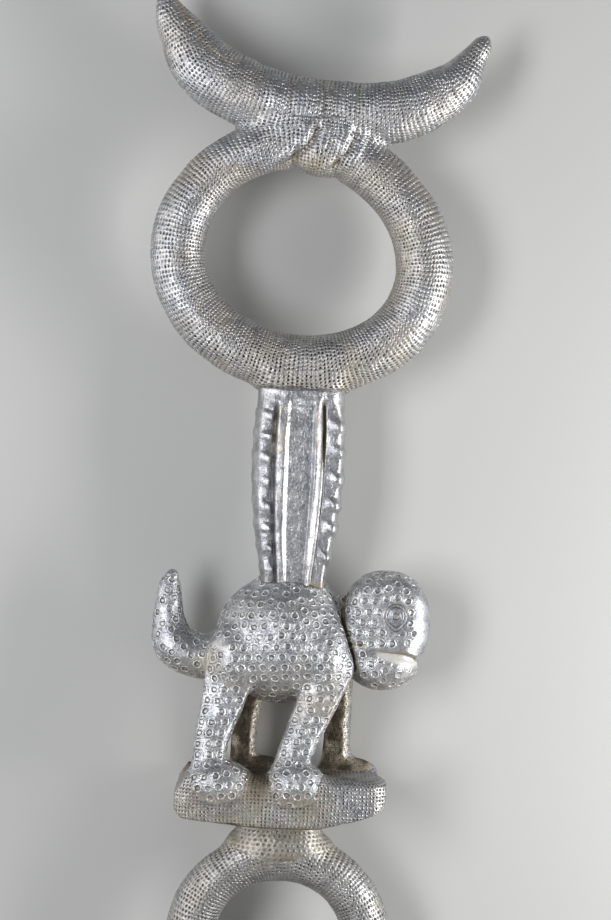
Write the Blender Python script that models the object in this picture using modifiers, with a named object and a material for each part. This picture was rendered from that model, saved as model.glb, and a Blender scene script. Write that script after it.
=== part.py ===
"""Ceremonial staff: carved wood sheathed in thin silver sheet, one solid lying on its back.

The staff's own frame has its axis along Y with the crescent at the far end, its front facing +Z,
and station 0 where the column leaves the upper ring. The sizes below are metres. A free form keeps
its proportions as shares of its own size. At the end the solid is moved so that the bottom centre
of its box is at the world's origin.
"""

import math

import bmesh
import bpy
from mathutils import Matrix, Vector

# The upper ring is an oval that leans a little to the left towards the crescent.
UPPER_RING_HALF_WIDTH = 0.0443
UPPER_RING_HALF_HEIGHT = 0.0392
UPPER_RING_RADIUS = 0.00995
UPPER_RING_SWELL = 0.0006  # added to the radius where the ring is thickest
UPPER_RING_SWELL_TURN = math.radians(-54)
UPPER_RING_LEAN = -0.064
UPPER_RING_NARROWING = 0.05  # share by which the oval is narrower at its top, and wider at its foot
UPPER_RING_OFFSET = -0.0019
UPPER_RING_SEAT = 0.0028  # station of its lowest point
UPPER_RING_KNOTS = 40
PINCH_RADIUS = 0.0078  # the folded sheet that hangs into the ring's hole
PINCH_SHIFT = 0.0040
PINCH_DROP = 0.0025  # from the ring's middle line down to the middle of the folds
RING_FOOT_SPREAD = 0.0074  # beyond the column on each side, where it runs into the ring
RING_FOOT_SWELL = 0.0022  # added to the ring's radius there, in depth

# The crescent, as shares of its span, measured from its seat inside the upper ring's top.
CRESCENT_SPAN = 0.1215
CRESCENT_SINK = 0.0126  # from the ring's top down to the seat
CRESCENT_FLATTEN = 0.88  # depth of its section over its height
CRESCENT_PATH = [  # across, up, half the height of the section
    (-0.451, 0.473, 0.006),
    (-0.441, 0.410, 0.037),
    (-0.400, 0.337, 0.066),
    (-0.317, 0.231, 0.094),
    (-0.148, 0.148, 0.096),
    (0.066, 0.124, 0.089),
    (0.255, 0.134, 0.091),
    (0.403, 0.212, 0.072),
    (0.463, 0.297, 0.044),
    (0.506, 0.361, 0.010),
]

COLUMN_LENGTH = 0.064
COLUMN_OFFSET = 0.0006
COLUMN_WIDTHS = [  # station as a share of the column's length, half the width
    (-0.14, 0.0155),
    (0.00, 0.0156),
    (0.16, 0.0165),
    (0.35, 0.0168),
    (0.55, 0.0162),
    (0.75, 0.0147),
    (0.91, 0.0128),
    (1.00, 0.0118),
    (1.15, 0.0118),
]
COLUMN_DEPTHS = [  # station as a share of the column's length, half the depth over the rails
    (-0.14, 0.0096),
    (-0.03, 0.0100),
    (0.15, 0.0122),
    (0.55, 0.0124),
    (0.90, 0.0112),
    (1.15, 0.0096),
]
COLUMN_SECTION = [  # a quarter of the section: share of half the width, share of half the depth
    (0.00, 0.89),
    (0.27, 0.89),
    (0.34, 1.00),
    (0.43, 0.96),
    (0.49, 0.62),
    (0.60, 0.62),
    (0.78, 0.72),
    (0.94, 0.45),
    (1.00, 0.00),
]
FIN_START = 0.58  # share of half the width where the rippled fin starts
RIPPLE_PITCH = 0.0078
RIPPLE_ACROSS = 0.018  # share by which a ripple widens the fin
RIPPLE_OUT = 0.09  # share by which a ripple raises the fin
COLUMN_STATIONS = 30

# The animal, as shares of its height, measured from the column's foot.
ANIMAL_HEIGHT = 0.071
ANIMAL_MASSES = [  # centre across, up and out, then the half sizes
    ((-0.014, -0.317, 0.000), (0.361, 0.327, 0.280)),  # body
    ((0.004, -0.115, 0.000), (0.230, 0.125, 0.185)),  # withers, under the column
    ((-0.262, -0.408, 0.127), (0.147, 0.176, 0.134)),  # near haunch
    ((-0.200, -0.430, -0.127), (0.145, 0.165, 0.120)),  # far haunch
    ((0.197, -0.394, 0.127), (0.134, 0.197, 0.134)),  # near shoulder
    ((0.225, -0.390, -0.134), (0.098, 0.180, 0.120)),  # far shoulder
    ((0.300, -0.245, 0.000), (0.130, 0.200, 0.150)),  # neck
    ((0.490, -0.209, 0.000), (0.226, 0.263, 0.200)),  # skull
    ((0.479, -0.415, 0.000), (0.186, 0.139, 0.170)),  # lower jaw
]
ANIMAL_LIMBS = [  # each a list of across, up, out and radius
    [(-0.28, -0.415, 0.00, 0.127), (-0.45, -0.420, 0.00, 0.118), (-0.568, -0.373, 0.00, 0.112),
     (-0.609, -0.268, 0.00, 0.087), (-0.616, -0.169, 0.00, 0.070), (-0.613, -0.070, 0.00, 0.055),
     (-0.603, -0.008, 0.00, 0.020)],  # tail
    [(-0.275, -0.437, 0.17, 0.127), (-0.314, -0.620, 0.18, 0.107), (-0.356, -0.789, 0.19, 0.089),
     (-0.373, -0.944, 0.20, 0.082)],  # near hind leg
    [(-0.183, -0.465, -0.17, 0.113), (-0.189, -0.676, -0.18, 0.073), (-0.206, -0.845, -0.19, 0.066),
     (-0.201, -1.021, -0.20, 0.073)],  # far hind leg
    [(0.225, -0.437, 0.155, 0.110), (0.155, -0.620, 0.18, 0.101), (0.087, -0.789, 0.19, 0.090),
     (0.037, -0.944, 0.20, 0.086)],  # near front leg
    [(0.246, -0.465, -0.17, 0.099), (0.275, -0.676, -0.18, 0.070), (0.276, -0.845, -0.19, 0.070),
     (0.279, -1.021, -0.20, 0.085)],  # far front leg
]
ANIMAL_PAWS = [  # centre across, up and out, then the half sizes
    ((-0.338, -1.028, 0.225), (0.165, 0.118, 0.115)),
    ((0.066, -1.028, 0.225), (0.145, 0.118, 0.115)),
    ((-0.127, -1.007, -0.197), (0.127, 0.056, 0.092)),
    ((0.338, -1.000, -0.183), (0.148, 0.063, 0.099)),
]
MOUTH_CUT = ((0.665, -0.375, 0.0), (0.225, 0.024, 0.24))  # centre and half sizes of the lens-shaped cut
MOUTH_FILL = ((0.535, -0.375, 0.0), (0.115, 0.035, 0.155))  # the tongue left in it
EYE_PLACE = (0.523, -0.141, 0.176)
EYE_HALF_SIZES = (0.055, 0.055, 0.026)
CARVING_GRAIN = 0.0011  # voxel size that fuses the masses
CARVING_SOFTENING = 5  # smoothing passes that round the junctions
CARVING_SOFTNESS = 0.5  # how far each pass moves a point, from 0 to 1
ANIMAL_TRIANGLES = 2500

# The staff lies on flat spots cut in its plinth and its foot.
REST_DEPTH = 0.0215  # from the axis down to the surface that the staff lies on
CUTTER_DEPTH = 0.02

PLINTH_MARGIN = 0.0026  # beyond the paws at each end
PLINTH_FLAT_CUT = 0.0013  # how much the flat spot takes off its back
PLINTH_HEIGHT = 0.0172
PLINTH_OFFSET = -0.0006
PLINTH_TILT = math.radians(2.6)  # its right end is the higher one
PLINTH_RIM_POWER = 0.50  # 0 gives a square rim, 1 a round one
PLINTH_PLAN_POWER = 0.62

NECK_HALF_WIDTH = 0.0152
NECK_HALF_DEPTH = 0.0090
SHOULDER_SPREAD = 0.0060  # beyond the neck on each side, where it runs into the lower ring
SHOULDER_SWELL = 0.0009  # beyond the neck in depth
SHOULDER_HALF_HEIGHT = 0.0110
SHOULDER_RISE = 0.0030  # above the ring's own middle line
LOWER_RING_HALF_SIZE = 0.0324
LOWER_RING_RADIUS = 0.0088
LOWER_RING_OFFSET = 0.0013
LOWER_RING_KNOTS = 32
LOWER_RING_GAP = 0.0045  # from the plinth's underside to the lower ring's outside

COLLAR_LENGTH = 0.018
COLLAR_RADIUS = 0.0168
COLLAR_GAP = 0.0072  # from the lower ring's outside down to the collar
SHAFT_TOP_RADIUS = 0.0140
SHAFT_END_RADIUS = 0.0112
FOOT_LENGTH = 0.034
FOOT_FLAT_CUT = 0.0007  # how much the flat spot takes off its side
FOOT_FACE_RADIUS = 0.012
STAFF_LENGTH = 1.5

SILVER = "C9C8C6"
ROUGHNESS = 0.33
SHARP_ANGLE = math.radians(40)
WELD = 0.00001

# The facets of each form.
TUBE_SIDES = 14
LIMB_STEPS = 4
CRESCENT_STEPS = 3
TURNED_SIDES = 20
BEAD_STEPS = 8  # points on the profile of the collar and of the foot
SPHERE_FACETS = (20, 12)
SWELLING_FACETS = (16, 10)
SMALL_FACETS = (12, 8)
PLINTH_FACETS = (24, 12)


def linear(hex_code):
    """The linear colour of an sRGB hex code."""
    channels = [int(hex_code[i:i + 2], 16) / 255 for i in (0, 2, 4)]
    return [c / 12.92 if c <= 0.04045 else ((c + 0.055) / 1.055) ** 2.4 for c in channels] + [1.0]


def clear_scene():
    for obj in list(bpy.data.objects):
        bpy.data.objects.remove(obj, do_unlink=True)


def new_collection(name):
    collection = bpy.data.collections.new(name)
    bpy.context.scene.collection.children.link(collection)
    return collection


def silver_sheet():
    material = bpy.data.materials.new("silver_sheet")
    material.use_nodes = True
    shader = material.node_tree.nodes["Principled BSDF"]
    shader.inputs["Base Color"].default_value = linear(SILVER)
    shader.inputs["Metallic"].default_value = 1.0
    shader.inputs["Roughness"].default_value = ROUGHNESS
    return material


def add_object(name, data):
    obj = bpy.data.objects.new(name, data)
    parts.objects.link(obj)
    return obj


def evaluated_mesh(obj):
    """The mesh of an object with its modifiers applied."""
    graph = bpy.context.evaluated_depsgraph_get()
    return bpy.data.meshes.new_from_object(obj.evaluated_get(graph))


def baked(obj):
    """The object as a plain mesh in the staff's frame, with loose caps welded."""
    bpy.context.view_layer.update()
    mesh = evaluated_mesh(obj)
    mesh.transform(obj.matrix_world)
    work = bmesh.new()
    work.from_mesh(mesh)
    bmesh.ops.remove_doubles(work, verts=work.verts, dist=WELD)
    bmesh.ops.recalc_face_normals(work, faces=work.faces)
    work.to_mesh(mesh)
    work.free()
    name = obj.name
    bpy.data.objects.remove(obj, do_unlink=True)
    return add_object(name, mesh)


def tube(name, points, closed=False, steps=1, flatten=1.0):
    """A tube through points of (x, y, z, radius); a closed one goes round."""
    curve = bpy.data.curves.new(name, "CURVE")
    curve.dimensions = "3D"
    curve.twist_mode = "Z_UP"
    curve.bevel_depth = 1.0
    curve.bevel_resolution = TUBE_SIDES // 2 - 2
    curve.use_fill_caps = not closed
    curve.resolution_u = steps
    spline = curve.splines.new("BEZIER")
    spline.bezier_points.add(len(points) - 1)
    spline.radius_interpolation = "CARDINAL"
    spline.use_cyclic_u = closed
    for knot, (x, y, z, radius) in zip(spline.bezier_points, points):
        knot.co = (x, y, z)
        knot.radius = radius
        knot.handle_left_type = knot.handle_right_type = "AUTO"
    obj = add_object(name, curve)
    obj.scale = (1, 1, flatten)
    return baked(obj)


def ellipsoid(name, centre, half_sizes, facets):
    work = bmesh.new()
    bmesh.ops.create_uvsphere(work, u_segments=facets[0], v_segments=facets[1], radius=1.0)
    mesh = bpy.data.meshes.new(name)
    work.to_mesh(mesh)
    work.free()
    mesh.transform(Matrix.Translation(centre) @ Matrix.Diagonal((*half_sizes, 1)))
    return add_object(name, mesh)


def scaled(shares, size):
    return tuple(share * size for share in shares)


def interpolate(table, at):
    """Reads a table of (position, value) with smooth steps between its rows."""
    for (low, first), (high, last) in zip(table, table[1:]):
        if at <= high:
            share = max(0.0, (at - low) / (high - low))
            return first + (last - first) * share * share * (3 - 2 * share)
    return table[-1][1]


def loft(name, sections):
    """A closed skin over sections that have the same number of points."""
    work = bmesh.new()
    rows = [[work.verts.new(point) for point in section] for section in sections]
    for row, following in zip(rows, rows[1:]):
        for i in range(len(row)):
            j = (i + 1) % len(row)
            work.faces.new((row[i], row[j], following[j], following[i]))
    work.faces.new(rows[0])
    work.faces.new(rows[-1])
    bmesh.ops.recalc_face_normals(work, faces=work.faces)
    mesh = bpy.data.meshes.new(name)
    work.to_mesh(mesh)
    work.free()
    return add_object(name, mesh)


def combine(target, tools, operation):
    """Joins or cuts with exact Booleans, one tool after another, and removes the tools."""
    for tool in tools:
        modifier = target.modifiers.new(tool.name, "BOOLEAN")
        modifier.solver = "EXACT"
        modifier.operation = operation
        modifier.object = tool
        result = evaluated_mesh(target)
        target.modifiers.clear()
        target.data = result
        bpy.data.objects.remove(tool, do_unlink=True)
    return target


def joined(name, pieces):
    """One object that holds the pieces' meshes as they are."""
    work = bmesh.new()
    for piece in pieces:
        work.from_mesh(piece.data)
        bpy.data.objects.remove(piece, do_unlink=True)
    mesh = bpy.data.meshes.new(name)
    work.to_mesh(mesh)
    work.free()
    return add_object(name, mesh)


def fused(obj, triangles):
    """Fuses overlapping masses into one softened skin with about the given number of triangles."""
    remesh = obj.modifiers.new("fuse", "REMESH")
    remesh.mode = "VOXEL"
    remesh.voxel_size = CARVING_GRAIN
    soften = obj.modifiers.new("soften", "SMOOTH")
    soften.factor = CARVING_SOFTNESS
    soften.iterations = CARVING_SOFTENING
    obj = baked(obj)
    thin = obj.modifiers.new("thin", "DECIMATE")
    thin.ratio = triangles / (2 * len(obj.data.polygons))
    thin.use_collapse_triangulate = True
    return baked(obj)


def turns(count):
    """Evenly spaced angles once round."""
    return [2 * math.pi * i / count for i in range(count)]


def upper_ring_middle():
    return UPPER_RING_SEAT + UPPER_RING_RADIUS + UPPER_RING_HALF_HEIGHT


def crescent_station(share):
    """The station of a height on the crescent, given as a share of its span."""
    ring_top = upper_ring_middle() + UPPER_RING_HALF_HEIGHT + UPPER_RING_RADIUS
    return ring_top - CRESCENT_SINK + share * CRESCENT_SPAN


def crescent():
    points = [
        (x * CRESCENT_SPAN, crescent_station(y), 0.0, radius * CRESCENT_SPAN)
        for x, y, radius in CRESCENT_PATH
    ]
    return tube("crescent", points, steps=CRESCENT_STEPS, flatten=CRESCENT_FLATTEN)


def upper_ring():
    """A tube round an oval that leans, narrows upwards and is thickest at its lower right."""
    middle = upper_ring_middle()
    points = []
    for turn in turns(UPPER_RING_KNOTS):
        rise = UPPER_RING_HALF_HEIGHT * math.sin(turn)
        narrowing = 1 - UPPER_RING_NARROWING * math.sin(turn)
        across = UPPER_RING_HALF_WIDTH * math.cos(turn) * narrowing + UPPER_RING_LEAN * rise
        radius = UPPER_RING_RADIUS + UPPER_RING_SWELL * math.cos(turn - UPPER_RING_SWELL_TURN)
        points.append((UPPER_RING_OFFSET + across, middle + rise, 0.0, radius))
    ring = tube("upper_ring", points, closed=True)
    hanging = middle + UPPER_RING_HALF_HEIGHT - PINCH_DROP
    pinch = ellipsoid("pinch", (PINCH_SHIFT, hanging, 0.0), (PINCH_RADIUS,) * 3, SMALL_FACETS)
    foot_middle = UPPER_RING_SEAT + UPPER_RING_RADIUS
    foot_half_sizes = (
        interpolate(COLUMN_WIDTHS, 0.0) + RING_FOOT_SPREAD,
        UPPER_RING_RADIUS,
        UPPER_RING_RADIUS + RING_FOOT_SWELL,
    )
    foot = ellipsoid("ring_foot", (0.0, foot_middle, 0.0), foot_half_sizes, SWELLING_FACETS)
    return [ring, pinch, foot]


def column_section(share):
    """One section of the column: a flat band between two rails, and a rippled fin on each side."""
    half_width = interpolate(COLUMN_WIDTHS, share)
    half_depth = interpolate(COLUMN_DEPTHS, share)
    station = -share * COLUMN_LENGTH
    ripple = math.cos(2 * math.pi * station / RIPPLE_PITCH)
    quarter = []
    for across, out in COLUMN_SECTION:
        on_fin = ripple if across > FIN_START else 0.0
        quarter.append((across * half_width * (1 + RIPPLE_ACROSS * on_fin),
                        out * half_depth * (1 + RIPPLE_OUT * on_fin)))
    right = quarter + [(x, -z) for x, z in reversed(quarter[:-1])]
    left = [(-x, z) for x, z in reversed(right[1:-1])]
    return [(COLUMN_OFFSET + x, station, z) for x, z in right + left]


def column():
    first, last = COLUMN_WIDTHS[0][0], COLUMN_WIDTHS[-1][0]
    steps = [first + (last - first) * i / (COLUMN_STATIONS - 1) for i in range(COLUMN_STATIONS)]
    return loft("column", [column_section(share) for share in steps])


def animal():
    """The animal in profile: masses and limbs fused, then a mouth cut, a tongue and two eyes."""
    size = ANIMAL_HEIGHT
    base = Vector((0.0, -COLUMN_LENGTH, 0.0))

    def mass(name, centre, half_sizes, facets=SPHERE_FACETS):
        place = base + Vector(scaled(centre, size))
        return ellipsoid(name, place, scaled(half_sizes, size), facets)

    pieces = [mass("mass", *form) for form in ANIMAL_MASSES + ANIMAL_PAWS]
    for limb in ANIMAL_LIMBS:
        points = [(*(base + Vector(scaled(row[:3], size))), row[3] * size) for row in limb]
        pieces.append(tube("limb", points, steps=LIMB_STEPS))
    figure = fused(joined("figure", pieces), ANIMAL_TRIANGLES)
    combine(figure, [mass("mouth_cut", *MOUTH_CUT)], "DIFFERENCE")
    x, y, z = EYE_PLACE
    eyes = [mass("eye", (x, y, side * z), EYE_HALF_SIZES, SMALL_FACETS) for side in (1, -1)]
    return combine(figure, [mass("tongue", *MOUTH_FILL, SMALL_FACETS)] + eyes, "UNION")


def signed_power(value, power):
    return math.copysign(abs(value) ** power, value)


def plinth(top):
    """A slab with a rounded plan and a rounded rim, shaped from a sphere by raising to powers."""
    reach = max(abs(centre[0]) + half_sizes[0] for centre, half_sizes in ANIMAL_PAWS)
    half_width = reach * ANIMAL_HEIGHT + PLINTH_MARGIN
    half_depth = REST_DEPTH + PLINTH_FLAT_CUT
    slab = ellipsoid("plinth", (0, 0, 0), (1, 1, 1), PLINTH_FACETS)
    for vertex in slab.data.vertices:
        x, y, z = vertex.co
        level = math.hypot(x, y)
        spread = signed_power(level, PLINTH_RIM_POWER)
        along = signed_power(x / level, PLINTH_PLAN_POWER) if level > 0 else 0.0
        outward = signed_power(y / level, PLINTH_PLAN_POWER) if level > 0 else 0.0
        vertex.co = (
            half_width * spread * along,
            PLINTH_HEIGHT / 2 * signed_power(z, PLINTH_RIM_POWER),
            -half_depth * spread * outward,
        )
    slab.data.transform(Matrix.Translation((PLINTH_OFFSET, top - PLINTH_HEIGHT / 2, 0))
                        @ Matrix.Rotation(PLINTH_TILT, 4, "Z"))
    return slab


def turned(name, profile):
    """A solid turned round the staff's axis from a profile of (radius, station), from top to bottom."""
    work = bmesh.new()
    points = [work.verts.new((radius, station, 0.0)) for radius, station in profile]
    for first, following in zip(points, points[1:]):
        work.edges.new((first, following))
    mesh = bpy.data.meshes.new(name)
    work.to_mesh(mesh)
    work.free()
    obj = add_object(name, mesh)
    screw = obj.modifiers.new("turn", "SCREW")
    screw.axis = "Y"
    screw.steps = screw.render_steps = TURNED_SIDES
    screw.use_merge_vertices = True
    screw.merge_threshold = WELD
    return baked(obj)


def bead(top, length, top_radius, low_radius, radius):
    """Profile points down a round swelling between two stations of a turned stick."""
    points = []
    for i in range(BEAD_STEPS + 1):
        share = i / BEAD_STEPS
        base = top_radius + (low_radius - top_radius) * share
        swelling = math.sin(math.pi * share)
        drop = (1 - math.cos(math.pi * share)) / 2
        points.append((base + (radius - base) * swelling, top - length * drop))
    return points


def shaft(top):
    """The turned stick below the lower ring: a collar, a plain taper and a foot with a flat end."""
    highest = max(y for _, y, _ in CRESCENT_PATH)
    end = crescent_station(highest) - STAFF_LENGTH
    collar_top = top - LOWER_RING_RADIUS - COLLAR_GAP
    foot_radius = REST_DEPTH + FOOT_FLAT_CUT
    profile = [(0, top), (SHAFT_TOP_RADIUS, top)]
    profile += bead(collar_top, COLLAR_LENGTH, SHAFT_TOP_RADIUS, SHAFT_TOP_RADIUS, COLLAR_RADIUS)
    profile += bead(end + FOOT_LENGTH, FOOT_LENGTH, SHAFT_END_RADIUS, FOOT_FACE_RADIUS, foot_radius)
    return turned("shaft", profile + [(0, end)])


def lower_staff(plinth_bottom):
    """The neck under the plinth, its shoulder, the lower ring and the shaft."""
    middle = plinth_bottom - LOWER_RING_GAP - LOWER_RING_RADIUS - LOWER_RING_HALF_SIZE
    ring_top = middle + LOWER_RING_HALF_SIZE
    neck_top = plinth_bottom + PLINTH_HEIGHT / 2
    neck_end = ring_top + SHOULDER_RISE
    neck = turned("neck", [(0, neck_top), (1, neck_top), (1, neck_end), (0, neck_end)])
    neck.data.transform(Matrix.Diagonal((NECK_HALF_WIDTH, 1, NECK_HALF_DEPTH, 1)))
    shoulder_half_sizes = (
        NECK_HALF_WIDTH + SHOULDER_SPREAD,
        SHOULDER_HALF_HEIGHT,
        NECK_HALF_DEPTH + SHOULDER_SWELL,
    )
    shoulder_place = (LOWER_RING_OFFSET, neck_end, 0.0)
    shoulder = ellipsoid("shoulder", shoulder_place, shoulder_half_sizes, SWELLING_FACETS)
    ring = tube("lower_ring", [
        (LOWER_RING_OFFSET + LOWER_RING_HALF_SIZE * math.cos(turn),
         middle + LOWER_RING_HALF_SIZE * math.sin(turn), 0.0, LOWER_RING_RADIUS)
        for turn in turns(LOWER_RING_KNOTS)
    ], closed=True)
    return [neck, shoulder, ring, shaft(middle - LOWER_RING_HALF_SIZE)]


def flat_spots():
    """The cutter below the plane that the staff lies on."""
    work = bmesh.new()
    bmesh.ops.create_cube(work, size=1.0)
    mesh = bpy.data.meshes.new("flat_spots")
    work.to_mesh(mesh)
    work.free()
    mesh.transform(Matrix.Translation((0, -STAFF_LENGTH / 2, -REST_DEPTH - CUTTER_DEPTH / 2))
                   @ Matrix.Diagonal((2 * CRESCENT_SPAN, 2 * STAFF_LENGTH, CUTTER_DEPTH, 1)))
    cutter = bpy.data.objects.new("flat_spots", mesh)
    cutters.objects.link(cutter)
    cutter.hide_render = True
    cutter.display_type = "WIRE"
    return cutter


def seated(obj):
    """Moves the mesh so that the bottom centre of its box is at the world's origin."""
    corners = [vertex.co for vertex in obj.data.vertices]
    low = [min(point[i] for point in corners) for i in range(3)]
    high = [max(point[i] for point in corners) for i in range(3)]
    shift = Vector((-(low[0] + high[0]) / 2, -(low[1] + high[1]) / 2, -low[2]))
    obj.data.transform(Matrix.Translation(shift))


def build_staff():
    plinth_top = -COLUMN_LENGTH - ANIMAL_HEIGHT
    staff = column()
    staff.name = "staff"
    others = [crescent()] + upper_ring() + [animal(), plinth(plinth_top)]
    others += lower_staff(plinth_top - PLINTH_HEIGHT)
    combine(staff, others, "UNION")
    combine(staff, [flat_spots()], "DIFFERENCE")
    seated(staff)
    staff.data.materials.clear()
    staff.data.materials.append(silver_sheet())
    staff.data.shade_smooth()
    staff.data.set_sharp_from_angle(angle=SHARP_ANGLE)


clear_scene()
parts = new_collection("ceremonial_staff")
cutters = new_collection("cutters")
build_staff()
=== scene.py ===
"""The looks of a ceremonial staff: carved wood sheathed in thin silver sheet, punched all over.

The staff's own frame has its axis along Y, its front facing +Z and station 0 where the column leaves
the upper ring, as in the part's source; StaffFrame carries it into the row frame. Sizes are metres.
The head is made of nets: grids of points whose rows and columns follow the rows of punched dots. Where
two forms meet, their nets are drawn onto the blended skin of both and then dive under it.
"""

import logging
import math
from dataclasses import dataclass, field, replace
from enum import Enum

import bpy
import numpy as np
from mathutils import Matrix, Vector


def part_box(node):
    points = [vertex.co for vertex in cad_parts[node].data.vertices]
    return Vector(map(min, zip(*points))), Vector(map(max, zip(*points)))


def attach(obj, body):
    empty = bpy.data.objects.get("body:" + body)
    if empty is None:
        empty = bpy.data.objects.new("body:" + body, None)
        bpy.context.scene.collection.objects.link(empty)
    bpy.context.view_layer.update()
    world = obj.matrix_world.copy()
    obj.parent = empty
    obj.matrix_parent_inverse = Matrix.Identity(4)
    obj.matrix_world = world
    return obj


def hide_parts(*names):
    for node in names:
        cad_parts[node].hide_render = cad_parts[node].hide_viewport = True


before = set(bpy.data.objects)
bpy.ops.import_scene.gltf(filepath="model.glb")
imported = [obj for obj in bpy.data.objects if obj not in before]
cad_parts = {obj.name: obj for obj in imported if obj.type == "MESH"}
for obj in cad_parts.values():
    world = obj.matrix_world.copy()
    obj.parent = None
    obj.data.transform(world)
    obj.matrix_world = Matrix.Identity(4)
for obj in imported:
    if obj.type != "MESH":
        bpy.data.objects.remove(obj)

log = logging.getLogger("staff")

NODE = "staff"
BODY = "root"
DOT_MAP = "punching"

# The least length that is divided by, a step past rounding, and how deep a net follows melted skin.
TINY = 1e-9
NUDGE = 1e-6
LAP = 0.0016

Array = np.ndarray
Object = bpy.types.Object
Tree = bpy.types.NodeTree
Socket = bpy.types.NodeSocket
Signal = Socket | float
Colour = tuple[float, float, float, float]
Pair = tuple[float, float]
Place = tuple[float, float, float]
Sphere = tuple[float, float, float, float]
Mass = tuple[Place, Place]
Plane = tuple[Place, Place]
Reach = tuple[Array, Array]


def linear(hex_code: str) -> Colour:
    """Turns an sRGB hex code into linear colour.

    Args:
        hex_code: six hex digits.

    Returns:
        Red, green, blue and an alpha of 1.
    """
    channels = [int(hex_code[i:i + 2], 16) / 255 for i in (0, 2, 4)]
    red, green, blue = (c / 12.92 if c <= 0.04045 else ((c + 0.055) / 1.055) ** 2.4 for c in channels)
    return red, green, blue, 1.0


def smoothstep(low: float, high: float, value: Array) -> Array:
    """Rises from 0 at low to 1 at high as 3t² - 2t³."""
    share = np.clip((value - low) / (high - low), 0.0, 1.0)
    return share * share * (3.0 - 2.0 * share)


def between(value: Array, rise: Pair, fall: Pair) -> Array:
    """Rises smoothly from 0 to 1 over the first pair, and falls back over the second."""
    return smoothstep(*rise, value) * smoothstep(*fall, value)


def powered(value: Array, power: float) -> Array:
    """A power of the size, with the sign kept."""
    return np.sign(value) * np.abs(value) ** power


def eased(share: Array) -> Array:
    """Goes from 0 to 1 as half a cosine."""
    return (1.0 - np.cos(np.pi * share)) / 2.0


def bell(value: Array, middle: float, width: float) -> Array:
    """A bell of height 1 round a middle: e to the minus square of the distance over the width."""
    return np.exp(-(((value - middle) / width) ** 2))


def hashed(cells: Array, seed: int) -> Array:
    """Gives every whole-numbered cell its own number.

    Args:
        cells: whole numbers, the last axis being a cell's coordinates.
        seed: picks one of many such sets.

    Returns:
        Numbers from -1 to 1: coordinates times large odd numbers, summed and mixed by shifts.
    """
    odd = np.array([73856093, 19349663, 83492791], dtype=np.int64)[: cells.shape[-1]]
    mixed = (cells.astype(np.int64) * odd).sum(-1) + seed * 961748927
    mixed = ((mixed ^ (mixed >> 13)) * 1274126177) & 0xFFFFFFFF
    mixed = ((mixed ^ (mixed >> 16)) * 668265263) & 0xFFFFFFFF
    return (mixed ^ (mixed >> 15)) / float(0x7FFFFFFF) - 1.0


def smooth_noise(points: Array, pitch: float, seed: int) -> Array:
    """Value noise: hashed numbers at the corners of a lattice, faded between them by 3t² - 2t³.

    Args:
        points: places, the last axis being their coordinates.
        pitch: the lattice's spacing.
        seed: picks one of many such fields.

    Returns:
        Numbers from -1 to 1, one for each place.
    """
    scaled = np.asarray(points, float) / pitch
    base = np.floor(scaled)
    fade = (scaled - base) ** 2 * (3.0 - 2.0 * (scaled - base))
    size = scaled.shape[-1]
    total = np.zeros(scaled.shape[:-1])
    for corner in range(2 ** size):
        step = np.array([(corner >> axis) & 1 for axis in range(size)])
        weight = np.prod(np.where(step == 1, fade, 1.0 - fade), axis=-1)
        total += weight * hashed(base + step, seed)
    return total


def unit(vectors: Array) -> Array:
    """Vectors at length 1."""
    return vectors / np.maximum(np.linalg.norm(vectors, axis=-1, keepdims=True), TINY)


class Sheath(Enum):
    """What covers a piece of the carving."""

    DOTTED = "punched with rows of fine dots"
    RINGED = "punched with small rings"
    PLAIN = "plain burnished sheet"


@dataclass(frozen=True)
class StaffFrame:
    """Where the staff's own frame lies in the row frame.

    The foot's axis is a little to the left of the box's middle, because the horns are uneven.
    """

    axis_across: float = -0.002323
    axis_height: float = 0.0215
    highest_station: float = 0.146087

    def origin(self) -> Array:
        """The row frame's place of station 0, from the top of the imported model's box."""
        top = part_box(NODE)[1].y
        return np.array([self.axis_across, top - self.highest_station, self.axis_height])

    def to_row(self, points: Array) -> Array:
        """Carries points of the staff's frame into the row frame."""
        return points + self.origin()


class Form:
    """A solid given by a formula: how far points are from its skin, and which way leads out."""

    def reach(self, points: Array) -> Reach:
        """Distance from the skin, less than 0 inside, and the outward direction, for every point."""
        raise NotImplementedError

    def least(self, points: Array) -> Array:
        """A distance that the skin is never nearer than; forms with no quick one give 0."""
        return np.zeros(points.shape[:-1])


@dataclass(frozen=True)
class Ball(Form):
    """An ellipsoid. Its distance is k(k - 1) / |p / r²|, with k the length of p / r."""

    centre: Place
    half_sizes: Place
    lean: float = 0.0

    def reach(self, points: Array) -> Reach:
        """Distance and outward direction from an ellipsoid, leaning in its XY plane."""
        radii = np.array(self.half_sizes)
        cosine, sine = math.cos(self.lean), math.sin(self.lean)
        turn = np.array([[cosine, sine, 0.0], [-sine, cosine, 0.0], [0.0, 0.0, 1.0]])
        offset = (points - np.array(self.centre)) @ turn.T
        level = np.linalg.norm(offset / radii, axis=-1)
        slope = offset / radii ** 2
        distance = level * (level - 1.0) / np.maximum(np.linalg.norm(slope, axis=-1), TINY)
        return distance, unit(slope) @ turn

    def least(self, points: Array) -> Array:
        """How far a sphere round the ellipsoid is."""
        return np.linalg.norm(points - np.array(self.centre), axis=-1) - max(self.half_sizes)


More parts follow.
